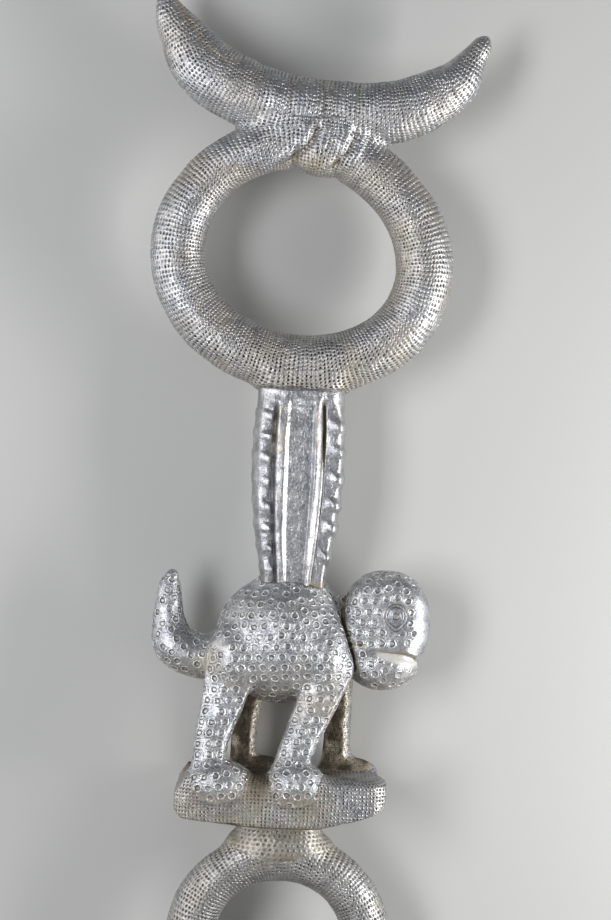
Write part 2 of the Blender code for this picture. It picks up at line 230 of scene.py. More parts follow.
@dataclass(frozen=True)
class Limb(Form):
    """A round tube through points that tapers: distance to the nearest stretch less its radius."""

    places: tuple[Sphere, ...]
    flatten: float = 1.0
    closed: bool = False

    def reach(self, points: Array) -> Reach:
        """Distance and outward direction from the nearest stretch of the tube."""
        rows = np.array(self.places)
        if self.closed:
            rows = np.vstack([rows, rows[:1]])
        squeeze = np.array([1.0, 1.0, self.flatten])
        starts, ends = rows[:-1, :3], rows[1:, :3]
        runs = ends - starts
        lengths = np.maximum((runs ** 2).sum(-1), TINY)
        flat = points.reshape(-1, 3) / squeeze
        middles = (starts + ends) / 2.0
        apart = (middles ** 2).sum(-1) - 2.0 * flat @ middles.T
        nearest = apart.argmin(-1)
        best = np.full(len(flat), np.inf)
        outward = np.zeros_like(flat)
        for step in (0, -1, 1):
            pick = nearest + step
            pick = pick % len(starts) if self.closed else np.clip(pick, 0, len(starts) - 1)
            offset = flat - starts[pick]
            share = np.clip((offset * runs[pick]).sum(-1) / lengths[pick], 0.0, 1.0)
            offset = offset - share[:, None] * runs[pick]
            away = np.sqrt((offset ** 2).sum(-1))
            distance = away - (rows[pick, 3] + (rows[pick + 1, 3] - rows[pick, 3]) * share)
            nearer = distance < best
            best = np.where(nearer, distance, best)
            outward = np.where(nearer[:, None], offset / np.maximum(away, TINY)[:, None], outward)
        outward = unit(outward / squeeze)
        return best.reshape(points.shape[:-1]), outward.reshape(points.shape)

    def least(self, points: Array) -> Array:
        """How far a sphere round the whole tube is."""
        rows = np.array(self.places)
        middle = rows[:, :3].mean(0)
        radius = (np.linalg.norm(rows[:, :3] - middle, axis=-1) + rows[:, 3]).max()
        return np.linalg.norm(points - middle, axis=-1) - radius


@dataclass(frozen=True)
class Slab(Form):
    """A slab with a rounded plan and rim: (|x/a|ⁿ + |z/c|ⁿ)^(m/n) + |y/b|ᵐ = 1."""

    centre: Place
    half_sizes: Place
    plan: float
    rim: float

    def reach(self, points: Array) -> Reach:
        """Distance and outward direction, from the formula's value over its slope."""
        local = points - np.array(self.centre)
        size = np.maximum(np.abs(local / np.array(self.half_sizes)), NUDGE)
        flat = size[..., 0] ** self.plan + size[..., 2] ** self.plan
        value = flat ** (self.rim / self.plan) + size[..., 1] ** self.rim
        grade = value ** (1.0 / self.rim - 1.0)
        lead = flat ** (self.rim / self.plan - 1.0) * grade
        slope = np.stack([lead * size[..., 0] ** (self.plan - 1.0),
                          size[..., 1] ** (self.rim - 1.0) * grade,
                          lead * size[..., 2] ** (self.plan - 1.0)], axis=-1)
        slope = slope * np.sign(local) / np.array(self.half_sizes)
        steep = np.maximum(np.linalg.norm(slope, axis=-1), TINY)
        return (value ** (1.0 / self.rim) - 1.0) / steep, unit(slope)


@dataclass(frozen=True)
class Post(Form):
    """A post with a rounded box for its section, whose half sizes are read along its stations."""

    stations: tuple[float, ...]
    half_widths: tuple[float, ...]
    half_depths: tuple[float, ...]
    corner: float
    across: float = 0.0

    def reach(self, points: Array) -> Reach:
        """Distance and outward direction in the plane of the section at each point's station."""
        order = np.argsort(self.stations)
        stations = np.array(self.stations)[order]
        wide = np.interp(points[..., 1], stations, np.array(self.half_widths)[order]) - self.corner
        deep = np.interp(points[..., 1], stations, np.array(self.half_depths)[order]) - self.corner
        local = np.stack([points[..., 0] - self.across, points[..., 2]], axis=-1)
        over = np.abs(local) - np.stack([wide, deep], axis=-1)
        outside = np.linalg.norm(np.maximum(over, 0.0), axis=-1)
        distance = outside + np.minimum(over.max(-1), 0.0) - self.corner
        beyond = np.maximum(over, 0.0) + TINY * (over == over.max(-1, keepdims=True))
        flat = unit(beyond) * np.where(local < 0, -1.0, 1.0)
        ends = np.maximum(stations[0] - points[..., 1], points[..., 1] - stations[-1])
        distance = np.where(ends > distance, np.maximum(ends, distance), distance)
        outward = np.stack([flat[..., 0], np.zeros_like(distance), flat[..., 1]], axis=-1)
        return distance, outward


@dataclass(frozen=True)
class Facet(Form):
    """Everything behind a plane: the distance is how far a point is in front of it."""

    place: Place
    facing: Place

    def reach(self, points: Array) -> Reach:
        """Distance from the plane, and the way it faces."""
        facing = unit(np.array(self.facing))
        distance = (points - np.array(self.place)) @ facing
        return distance, np.broadcast_to(facing, points.shape)


@dataclass(frozen=True)
class Union(Form):
    """Forms melted together: each pair by the smooth least of their distances over a fillet."""

    forms: tuple[Form, ...]
    fillet: float

    def reach(self, points: Array) -> Reach:
        """Melts the forms one after another, each only where it is near enough to matter."""
        distance, outward = self.forms[0].reach(points)
        for form in self.forms[1:]:
            near = form.least(points) < distance + self.fillet
            found = melted((distance[near], outward[near]), form.reach(points[near]), self.fillet)
            distance[near], outward[near] = found
        return distance, outward


def melted(first: Reach, second: Reach, fillet: float | Array) -> Reach:
    """The smooth least of two distances.

    With w running from 0 to 1 as the second grows past the first by the fillet, the distance is
    second + (first - second) w - fillet w (1 - w), and the directions are mixed by w.

    Args:
        first: one form's distance and direction.
        second: the other's.
        fillet: how far round their meeting the two melt together.

    Returns:
        The melted distance and direction.
    """
    share = np.clip(0.5 + 0.5 * (second[0] - first[0]) / fillet, 0.0, 1.0)
    distance = second[0] + (first[0] - second[0]) * share - fillet * share * (1.0 - share)
    return distance, unit(second[1] + (first[1] - second[1]) * share[..., None])


def pared(found: Reach, facet: Reach, fillet: float) -> Reach:
    """What is left of a solid behind a facet: the melted distance of the two turned inside out."""
    distance, outward = melted((-found[0], -found[1]), (-facet[0], -facet[1]), fillet)
    return -distance, -outward


@dataclass(frozen=True)
class Pared(Form):
    """A form cut back to what lies behind its facets."""

    form: Form
    facets: tuple[Form, ...]
    fillet: float

    def reach(self, points: Array) -> Reach:
        """Pares the form by each facet in turn."""
        found = self.form.reach(points)
        for facet in self.facets:
            found = pared(found, facet.reach(points), self.fillet)
        return found

    def least(self, points: Array) -> Array:
        """The whole form's least distance."""
        return self.form.least(points)


def laid_on(form: Form, points: Array) -> Array:
    """Points drawn onto a form's skin, by stepping back three times by their distance from it."""
    for _ in range(3):
        distance, outward = form.reach(points)
        points = points - distance[..., None] * outward
    return points


def settle(points: Array, own: Form, others: Form, fillet: float | Array,
           lap: float | Array) -> Reach:
    """Draws a net onto the melted skin of its own form and the others, and lets the rest dive.

    Each point steps back by its melted distance along the outward direction, four times. A point that
    starts deeper than the lap inside the others stays there, hidden, and between a fifth of the lap and
    the whole lap it goes over from one to the other.

    Args:
        points: places on the own form's skin; changed in place.
        own: the form that the net covers.
        others: the forms that it meets.
        fillet: how far round their meeting the forms melt together, for all points or for each.
        lap: how deep inside the others the net still follows the melted skin.

    Returns:
        For each point, from 0 to 1 how far it lies on the skin, and its outward direction.
    """
    start = points.copy()
    depth, _ = others.reach(points)
    shown = smoothstep(-lap, -0.2 * lap, depth)
    spread = np.broadcast_to(fillet, depth.shape)
    near = depth < 3.0 * spread
    moved, spread = points[near], spread[near]
    for _ in range(4):
        distance, outward = melted(own.reach(moved), others.reach(moved), spread)
        moved = moved - distance[:, None] * outward
    points[near] = start[near] + (moved - start[near]) * shown[near][:, None]
    _, outward = own.reach(points)
    _, outward[near] = melted(own.reach(points[near]), others.reach(points[near]), spread)
    return shown, outward


@dataclass(frozen=True)
class Courses:
    """Where the lines of a net lie among the punched dots.

    Attributes:
        marks: the place of each row line, in rows of dots.
        turns: the place of each column line, in turns of the section, with a last one at 1.
        counts: how many dots stand round each row of dots.
        shifts: how far each row of dots is turned, in dots.
    """

    marks: Array
    turns: Array
    counts: Array
    shifts: Array

    def across(self, lines: Array, turns: Array) -> tuple[Array, Array]:
        """The row of dots that each row line starts, and the places of points in it, in dots."""
        row = np.floor(self.marks[lines] + NUDGE).astype(int)
        return row, turns * self.counts[row][:, None] + self.shifts[row][:, None]


@dataclass
class Net:
    """A grid of points round a section, its last column joined to its first.

    Attributes:
        points: rows by columns by three.
        courses: where the lines lie among the dots, if the net is punched.
        closed: whether the last row joins the first. If not, a point in its middle closes each end.
    """

    points: Array
    courses: Courses | None = None
    closed: bool = False

    def cells(self) -> tuple[Array, Array, Array]:
        """The four corners of every cell, with its row and its column."""
        rows, columns = self.points.shape[:2]
        i, j = np.indices((rows if self.closed else rows - 1, columns)).reshape(2, -1)
        below, beside = (i + 1) % rows, (j + 1) % columns
        corners = np.stack([i * columns + j, i * columns + beside,
                            below * columns + beside, below * columns + j], axis=-1)
        return corners, i, j

    def caps(self) -> Array:
        """The triangles between an open net's end rows and the two points added in their middles."""
        if self.closed:
            return np.zeros((0, 3), int)
        rows, columns = self.points.shape[:2]
        ring = np.arange(columns)
        beside = (ring + 1) % columns
        base = (rows - 1) * columns
        middle = np.full(columns, rows * columns)
        top = np.stack([middle, beside, ring], axis=-1)
        bottom = np.stack([middle + 1, base + ring, base + beside], axis=-1)
        return np.vstack([top, bottom])

    def pattern(self, i: Array, j: Array) -> Array:
        """The UV map at the four corners of every cell: one unit is one dot, across and along."""
        marks, turns = self.courses.marks, self.courses.turns
        along = np.stack([marks[i], marks[i], marks[i + 1], marks[i + 1]], axis=-1)
        turn = np.stack([turns[j], turns[j + 1], turns[j + 1], turns[j]], axis=-1)
        _, across = self.courses.across(i, turn)
        return np.stack([across, along], axis=-1).reshape(-1, 2)

    def build(self, name: str, values: dict[str, Array]) -> Object:
        """Makes an object from the net, its end points taking the mean of their rows.

        Args:
            name: the object's name.
            values: named numbers for each point.

        Returns:
            The object, in the row frame.
        """
        corners, i, j = self.cells()
        fans = self.caps()
        points = self.points.reshape(-1, 3)
        values = {key: value.ravel() for key, value in values.items()}
        if not self.closed:
            columns = self.points.shape[1]
            points = np.vstack([points, self.points[[0, -1]].mean(axis=1)])
            values = {key: np.append(value, [value[:columns].mean(), value[-columns:].mean()])
                      for key, value in values.items()}
        starts = np.append(np.arange(len(corners)) * 4, corners.size + np.arange(len(fans)) * 3)
        pairs = None
        if self.courses is not None:
            pairs = np.vstack([self.pattern(i, j), np.zeros((fans.size, 2))])
        return make_object(name, points, np.append(corners, fans), starts, values, pairs)


def make_object(name: str, points: Array, corners: Array, starts: Array,
                values: dict[str, Array], pairs: Array | None = None) -> Object:
    """Makes a smooth-shaded object from faces.

    Args:
        name: the object's name.
        points: places in the staff's frame.
        corners: the faces' points, one face after another.
        starts: where each face's corners start.
        values: named numbers or directions for each point, kept as attributes.
        pairs: the UV map, one pair for each corner.

    Returns:
        The object, in the row frame.
    """
    mesh = bpy.data.meshes.new(name)
    mesh.vertices.add(len(points))
    mesh.vertices.foreach_set("co", StaffFrame().to_row(points).astype(np.float32).ravel())
    mesh.loops.add(len(corners))
    mesh.loops.foreach_set("vertex_index", corners.astype(np.int32))
    mesh.polygons.add(len(starts))
    mesh.polygons.foreach_set("loop_start", starts.astype(np.int32))
    if pairs is not None:
        layer = mesh.uv_layers.new(name=DOT_MAP)
        layer.data.foreach_set("uv", pairs.astype(np.float32).ravel())
    for key, value in values.items():
        kind, member = ("FLOAT_VECTOR", "vector") if value.ndim > 1 else ("FLOAT", "value")
        layer = mesh.attributes.new(key, kind, "POINT")
        layer.data.foreach_set(member, value.astype(np.float32).ravel())
    mesh.update(calc_edges=True)
    mesh.validate()
    mesh.shade_smooth()
    obj = bpy.data.objects.new(name, mesh)
    bpy.context.scene.collection.objects.link(obj)
    return obj


def add_node(tree: Tree, kind: str, settings: dict | None = None,
             inputs: dict | None = None) -> bpy.types.Node:
    """Adds a node with its settings, and its inputs' values or links.

    Args:
        tree: the material's nodes.
        kind: the node's type.
        settings: attributes to set on the node.
        inputs: for each input, by name or place, a value or the output that feeds it.

    Returns:
        The node.
    """
    node = tree.nodes.new(kind)
    for name, value in (settings or {}).items():
        setattr(node, name, value)
    for name, value in (inputs or {}).items():
        if isinstance(value, Socket):
            tree.links.new(value, node.inputs[name])
        else:
            node.inputs[name].default_value = value
    return node


def combine(tree: Tree, operation: str, *terms: Signal, clamp: bool = False) -> Socket:
    """A sum, product or the like of its terms, held from 0 to 1 if it is clamped."""
    settings = {"operation": operation, "use_clamp": clamp}
    return add_node(tree, "ShaderNodeMath", settings, dict(enumerate(terms))).outputs[0]


def product(tree: Tree, first: Signal, second: Signal) -> Socket:
    """One value times another."""
    return combine(tree, "MULTIPLY", first, second)


def greater(tree: Tree, first: Signal, second: Signal) -> Socket:
    """The greater of two values."""
    return combine(tree, "MAXIMUM", first, second)


def vector(tree: Tree, operation: str, *terms: Socket | Place) -> Socket:
    """The result of a step on vectors: a length as a number, anything else as a vector."""
    node = add_node(tree, "ShaderNodeVectorMath", {"operation": operation}, dict(enumerate(terms)))
    return node.outputs["Value" if operation == "LENGTH" else "Vector"]


def read(tree: Tree, name: str, output: str = "Fac") -> Socket:
    """One of the mesh's attributes."""
    return add_node(tree, "ShaderNodeAttribute", {"attribute_name": name}).outputs[output]


def noise(tree: Tree, place: Socket, size: float, detail: float, roughness: float = 0.5) -> Socket:
    """Noise round 0.5 with lumps of a size in metres and finer ones in them."""
    return add_node(tree, "ShaderNodeTexNoise", inputs={
        "Vector": place, "Scale": 1.0 / size, "Detail": detail, "Roughness": roughness}).outputs["Fac"]


def ramp(tree: Tree, value: Socket, low: float, high: float, start: float = 0.0, end: float = 1.0,
         curve: str = "LINEAR") -> Socket:
    """Goes from the start where the value is low to the end where it is high."""
    return add_node(tree, "ShaderNodeMapRange", {"interpolation_type": curve}, {
        "Value": value, "From Min": low, "From Max": high, "To Min": start, "To Max": end}).outputs[0]


def fall(tree: Tree, value: Socket, none: float, full: float) -> Socket:
    """Goes smoothly from 0 where the value is at none to 1 where it is at full."""
    return ramp(tree, value, none, full, curve="SMOOTHSTEP")


def stroke(tree: Tree, value: Socket, middle: float, width: float) -> Socket:
    """A line that falls from 1 where the value is at its middle to 0 a width away."""
    apart = combine(tree, "ABSOLUTE", combine(tree, "SUBTRACT", value, middle))
    return fall(tree, apart, width, 0.0)


def blend(tree: Tree, share: Signal, first: Socket | Colour, second: Socket | Colour) -> Socket:
    """A colour that goes from the first to the second as the share goes from 0 to 1."""
    return add_node(tree, "ShaderNodeMix", {"data_type": "RGBA"},
                    {0: share, 6: first, 7: second}).outputs[2]


def bump(tree: Tree, height: Socket, strength: float, depth: float,
         normal: Socket | None = None, invert: bool = False) -> Socket:
    """A normal tilted by a height map, on top of another normal if there is one."""
    inputs = {"Height": height, "Strength": strength, "Distance": depth}
    if normal is not None:
        inputs["Normal"] = normal
    return add_node(tree, "ShaderNodeBump", {"invert": invert}, inputs).outputs[0]


@dataclass(frozen=True)
class SilverSheet:
    """Silver sheet, beaten and burnished over wood: cool, soft-edged highlights and a grey body tone.

    Punches leave pits with dark, rough floors, the dark being partly soiling and partly painted shade.
    Tarnish is a thin brown film that dulls the metal, thick in hollows and under edges, where polish never
    reaches. Sizes are metres. The metal's own grain is too fine to be seen from here, so it is drawn
    coarser.

    Attributes:
        name, sheath: the material's name, and how the sheet is worked.
        bright, dull, film, dirt_and_shade: the clean metal's grains, thick tarnish, and the colour of the
            pits'
        soiling and painted shade.
        lip, rim_highlight_colour: the bare strip under the mouth's line, pale cream that also paints its
            highlight,
        and the near white painted on the rims of pits and rings, partly rubbing and partly a painted
        highlight.
        specks, mark_darkness: how dark the specks are, and the pits with their soiling and painted shade.
        mottle_size, patch_size, grain_size, dent_size, drift_size, scratch_size: lumps of the noises.
        grain_depth, dent_depth, bite: how deep grain, dents and marks go; denting: how much dents show.
        pit_radius, rim_highlight: of a dot's pit, in dots, and how strongly its rim is painted near white.
        ring_radius, ring_line, ring_drift: a ring's groove, its half width and how far it strays.
        rim_radius, rim_line: the raised rim round a ring, and its half width.
        eye_lines, eye_line: the eye's lines, by distance from its middle, and their half width.
    """

    name: str
    sheath: Sheath
    bright: str = "CECED0"
    dull: str = "9C9EA3"
    film: str = "B3A588"
    dirt_and_shade: str = "372D22"
    lip: str = "EDE9E1"
    rim_highlight_colour: str = "F7F6F3"
    specks: float = 0.45
    mark_darkness: float = 0.90
    roughness: float = 0.44
    mottle_size: float = 0.0045
    patch_size: float = 0.012
    grain_size: float = 0.0006
    grain_depth: float = 0.00018
    dent_size: float = 0.0014
    dent_depth: float = 0.00030
    denting: float = 0.7
    pit_radius: float = 0.225
    bite: float = 0.00030
    rim_highlight: float = 0.15
    ring_radius: float = 0.00076
    ring_line: float = 0.00048
    ring_drift: float = 0.0009
    drift_size: float = 1.0 / 900.0
    rim_radius: float = 0.00128
    rim_line: float = 0.00036
    fine_radius: float = 0.00045
    eye_lines: tuple[float, ...] = (0.0, 0.00115, 0.00325, 0.00435)
    eye_line: float = 0.00034
    scratch_size: float = 1.0 / 1400.0
    scratch_lean: float = math.radians(26)

    def material(self) -> bpy.types.Material:
        """Builds the material: marks and film first, then what the shader takes from them."""
        material = bpy.data.materials.new(self.name)
        material.use_nodes = True
        tree = material.node_tree
        place = add_node(tree, "ShaderNodeTexCoord").outputs["Object"]
        mottle = noise(tree, place, self.mottle_size, 5.0, 0.62)
        grain = noise(tree, place, self.grain_size, 2.0)
        # The tarnish attribute is the brown film; on the animal and the plinth it also holds painted shade
        # and light.
        bare, film = read(tree, "bare"), read(tree, "tarnish")
        dark_marks, relief, rim_highlight = self.marks(tree, place)
        patchy = combine(tree, "MULTIPLY_ADD", mottle, 0.9, -0.45)
        amount = combine(tree, "ADD", film, product(tree, patchy, film), clamp=True)
        dirt_and_shade_share = self.dirt_and_shade_share(tree, place, grain, dark_marks, amount)
        tone = self.tone(tree, mottle, grain, amount, rim_highlight)
        # Marks, specks and thick film take the dark colour: soiling, and in pits and grooves painted shade.
        colour = blend(tree, dirt_and_shade_share, tone, linear(self.dirt_and_shade))
        rough = combine(tree, "MULTIPLY_ADD", mottle, -0.16, self.roughness + 0.08)
        feeds = {
            # The lip takes a pale cream, less metallic colour, which also paints the highlight it catches.
            "Base Color": blend(tree, bare, colour, linear(self.lip)),
            "Metallic": ramp(tree, greater(tree, amount, bare), 0.0, 1.0, 1.0, 0.35),
            "Roughness": combine(tree, "MULTIPLY_ADD", dirt_and_shade_share, 0.3, rough),
            "Normal": self.normal(tree, place, grain, relief),
        }
        shader = tree.nodes["Principled BSDF"]
        for name, feed in feeds.items():
            tree.links.new(feed, shader.inputs[name])
        return material

    def tone(self, tree: Tree, mottle: Socket, grain: Socket, amount: Socket, rim_highlight: Signal) -> Socket:
        """The metal's colour: bright and dull grains, the film over them, and rims painted near white,
        partly as rubbing and partly as a painted highlight.
        """
        speckle = combine(tree, "MULTIPLY_ADD", grain, 0.8, combine(tree, "ADD", mottle, -0.40))
        metal = blend(tree, ramp(tree, speckle, 0.36, 0.64), linear(self.dull), linear(self.bright))
        filmed = blend(tree, ramp(tree, amount, 0.05, 0.75, 0.0, 0.85), metal, linear(self.film))
        # Rims are painted near white: partly rubbing, partly a painted highlight.
        return blend(tree, rim_highlight, filmed, linear(self.rim_highlight_colour))

    def dirt_and_shade_share(self, tree: Tree, place: Socket, grain: Socket, dark_marks: Socket,
               amount: Socket) -> Socket:
        """How far the sheet goes to the dark colour: soiling and painted shade in its marks, soiling in its
        specks, by patches, and where the film is thickest.
        """
        patches = noise(tree, place, self.patch_size, 2.0)
        patch_darkness = ramp(tree, patches, 0.36, 0.58, 0.45 * self.mark_darkness, self.mark_darkness)
        specks = product(tree, fall(tree, grain, 0.60, 0.80), self.specks)
        marked = product(tree, greater(tree, dark_marks, specks), greater(tree, patch_darkness, amount))
        return combine(tree, "MAXIMUM", marked, ramp(tree, amount, 0.6, 1.0, 0.0, 0.9), clamp=True)

    def normal(self, tree: Tree, place: Socket, grain: Socket, relief: Socket) -> Socket:
        """The relief that is too fine for the mesh: grain, then dents, then marks cut into them."""
        fine = bump(tree, grain, 0.7, self.grain_depth)
        dents = noise(tree, place, self.dent_size, 3.0, 0.6)
        beaten = bump(tree, dents, self.denting, self.dent_depth, fine)
        return bump(tree, relief, 1.0, self.bite, beaten, invert=True)

    def marks(self, tree: Tree, place: Socket) -> tuple[Socket, Socket, Signal]:
        """The worked pattern: how dark its marks are with soiling and painted shade, how deep, and how
        strongly its rims are painted near white, each from 0 to 1.
        """
        if self.sheath is Sheath.DOTTED:
            return self.dots(tree)
        if self.sheath is Sheath.RINGED:
            return self.rings(tree, place)
        return self.scratches(tree, place)

    def dots(self, tree: Tree) -> tuple[Socket, Socket, Signal]:
        """Round pits, dark at the bottom with soiling and painted shade: one to each unit square of the
        map, as deep as punch says.
        """
        grid = add_node(tree, "ShaderNodeUVMap", {"uv_map": DOT_MAP}).outputs[0]
        centred = vector(tree, "SUBTRACT", vector(tree, "FRACTION", grid), (0.5, 0.5, 0.0))
        away = vector(tree, "LENGTH", centred)
        depth = read(tree, "punch")
        # The pit's floor is darkened: soiling and painted shade.
        bottom = fall(tree, away, self.pit_radius * 1.35, self.pit_radius * 0.55)
        bowl = fall(tree, away, self.pit_radius * 2.0, self.pit_radius * 0.3)
        # A near-white ring round each pit: partly rubbing, partly a painted highlight.
        rim_highlight = product(tree, fall(tree, away, 0.34, 0.58), product(tree, depth, self.rim_highlight))
        return product(tree, bottom, depth), product(tree, bowl, depth), rim_highlight

    def rings(self, tree: Tree, place: Socket) -> tuple[Socket, Socket, Signal]:
        """A dish with a groove round it at each punch, fine dots, and the thin lines of the eyes."""
        away = vector(tree, "LENGTH", read(tree, "offset", "Vector"))
        drift = noise(tree, place, self.drift_size, 2.0)
        inside = combine(tree, "ADD", away, -self.ring_drift / 2.0)
        away = combine(tree, "MULTIPLY_ADD", drift, self.ring_drift, inside)
        near, fine, almond = read(tree, "punch"), read(tree, "fine"), read(tree, "almond")
        groove = stroke(tree, away, self.ring_radius, self.ring_line)
        rim = stroke(tree, away, self.rim_radius, self.rim_line)
        dish = fall(tree, away, self.ring_radius * 1.6, self.ring_radius * 0.5)
        hollow = combine(tree, "MULTIPLY_ADD", groove, 0.35, product(tree, dish, 0.65))
        hollow = combine(tree, "MULTIPLY_ADD", rim, -0.35, hollow)
        lines = product(tree, fall(tree, away, self.fine_radius, 0.0002), fine)
        for radius in self.eye_lines:
            lines = greater(tree, lines, stroke(tree, almond, radius, self.eye_line))
        # The groove and the eye's lines are darkened: soiling and painted shade.
        dark_marks = greater(tree, product(tree, groove, near), lines)
        relief = combine(tree, "MULTIPLY_ADD", hollow, near, product(tree, lines, 0.6))
        # The raised rim round each ring is painted near white: partly rubbing, partly a painted highlight.
        return dark_marks, relief, product(tree, rim, near)

    def scratches(self, tree: Tree, place: Socket) -> tuple[Socket, Socket, Signal]:
        """Fine leaning scratches: noise drawn out five times, its highest parts taken."""
        drawn = add_node(tree, "ShaderNodeMapping", inputs={
            "Vector": place, "Rotation": (0.0, 0.0, self.scratch_lean), "Scale": (1.0, 0.2, 1.0)})
        fine = noise(tree, drawn.outputs[0], self.scratch_size, 3.0)
        cuts = ramp(tree, fine, 0.60, 0.80, 0.0, 0.5, "SMOOTHSTEP")
        return cuts, cuts, 0.0


def even_steps(line: Array, pitch: float, closed: bool) -> tuple[Array, int]:
    """Finds where whole dots fit along a line.

    Args:
        line: points along it, close together.
        pitch: the spacing wanted.
        closed: whether the last point joins the first.

    Returns:
        The length walked at each point, and the whole number of steps that comes nearest.
    """
    ends = np.vstack([line, line[:1]]) if closed else line
    walked = np.append(0.0, np.cumsum(np.linalg.norm(np.diff(ends, axis=0), axis=-1)))
    return walked, max(3, round(walked[-1] / pitch))


def row_lines(rows: int) -> Array:
    """The row lines' places in rows: three to each row of dots, the first on its ridge, and the end."""
    return np.append((np.arange(rows)[:, None] + np.array([0.0, 0.34, 0.66])).ravel(), float(rows))


@dataclass(frozen=True)
class Punching:
    """How a sheet is punched with dots, row after row.

    Attributes:
        row_pitch, dot_pitch: from row to row, and from dot to dot in a row.
        depth, radius: of a pit.
        ridge: height of the sheet between two rows.
        seed: the first seed of its noises.
        drifts: size and reach of the noises that bend the rows on a tube.
    """

    row_pitch: float = 0.00150
    dot_pitch: float = 0.00132
    depth: float = 0.00030
    radius: float = 0.00044
    ridge: float = 0.00015
    seed: int = 1
    drifts: tuple[tuple[float, float], ...] = ((0.0070, 0.00050), (0.0026, 0.00022))

    def courses(self, rows: int, radii: Array, columns: int) -> Courses:
        """Lays out rows of whole dots, each turned a little against the next.

        Args:
            rows: how many rows of dots.
            radii: the section's radius at each.
            columns: points of the net round the section.

        Returns:
            Where the net's lines lie among the dots.
        """
        counts = np.maximum(8, np.round(2.0 * np.pi * radii / self.dot_pitch)).astype(int)
        cells = np.arange(rows)[:, None]
        drift = smooth_noise(cells * 1.0, 7.0, self.seed + 3) * 1.2 + 0.25 * hashed(cells, self.seed + 4)
        turns = np.append(np.arange(columns) / columns, 1.0)
        return Courses(row_lines(rows), turns, np.append(counts, counts[:1]), np.append(drift, drift[:1]))

    def relief(self, net: Net) -> tuple[Array, Array]:
        """Works out the height of the punched sheet at every point of a net.

        Each row is a shallow ridge between two lines of pits. A pit is a bell in its own square, and
        every pit has its own depth. The ridges fade in and out over a centimetre.

        Args:
            net: the net, with its courses.

        Returns:
            The height over the sheet, and how hard each point is punched, from 0 to 1.
        """
        lines = np.arange(len(net.points))
        row, across = net.courses.across(lines, net.courses.turns[None, :-1])
        along = net.courses.marks[lines] - row - 0.5
        dot = np.floor(across)
        beside = across - dot - 0.5
        cells = np.stack(np.broadcast_arrays(row[:, None], dot), axis=-1)
        hit = 0.70 + 0.42 * hashed(cells, self.seed + 5)
        hit = np.where(hashed(cells, self.seed + 6) > 0.90, 0.20, hit)
        away = (along[:, None] * self.row_pitch) ** 2 + (beside * self.dot_pitch) ** 2
        pit = np.exp(-away / self.radius ** 2)
        crest = 0.5 + 0.5 * np.cos(2.0 * np.pi * along + np.pi)[:, None]
        swell = 0.55 + 0.6 * smooth_noise(net.points, 0.009, self.seed + 7)
        rowwise = hashed(row[:, None], self.seed + 8)[:, None]
        height = self.ridge * crest * (swell + 0.35 * rowwise) - self.depth * hit * pit
        return height, hit


@dataclass(frozen=True)
class Beating:
    """The unevenness of hand-beaten sheet over carved wood: heights of its broad and fine lumps."""

    broad: float = 0.00028
    fine: float = 0.00010
    seed: int = 11

    def height(self, points: Array) -> Array:
        """Two value noises, with lumps of 9 mm and of 3 mm."""
        return (self.broad * smooth_noise(points, 0.009, self.seed)
                + self.fine * smooth_noise(points, 0.0031, self.seed + 1))


@dataclass(frozen=True)
class Path:
    """A line in the plane of the head, with the radius of the tube that runs along it."""

    line: Array
    radii: Array
    closed: bool

    def form(self, stretches: int, flatten: float = 1.0) -> Limb:
        """The tube as a formula, in a number of straight stretches."""
        count = len(self.line)
        last = count if self.closed else count - 1
        picks = np.round(np.linspace(0, last, stretches + 1)).astype(int) % count
        if self.closed:
            picks = picks[:-1]
        return Limb(tuple((*self.line[k], self.radii[k]) for k in picks), flatten, self.closed)


def hollows(height: Array) -> Array:
    """Film left in the hollows of the relief: from 0 on the crests to 1 a fifth of a millimetre down."""
    return np.clip(-height / 0.0002, 0.0, 1.0)


def spline(knots: Array, count: int, closed: bool = False) -> Array:
    """Reads a smooth curve through knots.

    Each stretch is a cubic that takes its slope at a knot from the knots on both sides.

    Args:
        knots: the points, with any number of columns.
        count: how many points to read.
        closed: whether the curve goes round.

    Returns:
        The points read, evenly spaced in knots.
    """
    total = len(knots)
    places = np.linspace(0, total if closed else total - 1, count, endpoint=not closed)
    base = np.minimum(np.floor(places).astype(int), total - (1 if closed else 2))
    share = (places - base)[:, None]

    def knot(step: int) -> Array:
        """The knots a number of steps on from each stretch's start."""
        at = base + step
        return knots[at % total] if closed else knots[np.clip(at, 0, total - 1)]

    start, end = knot(0), knot(1)
    leave, arrive = (end - knot(-1)) / 2.0, (knot(2) - start) / 2.0
    square, cube = share ** 2, share ** 3
    return ((2 * cube - 3 * square + 1) * start + (cube - 2 * square + share) * leave
            + (3 * square - 2 * cube) * end + (cube - square) * arrive)


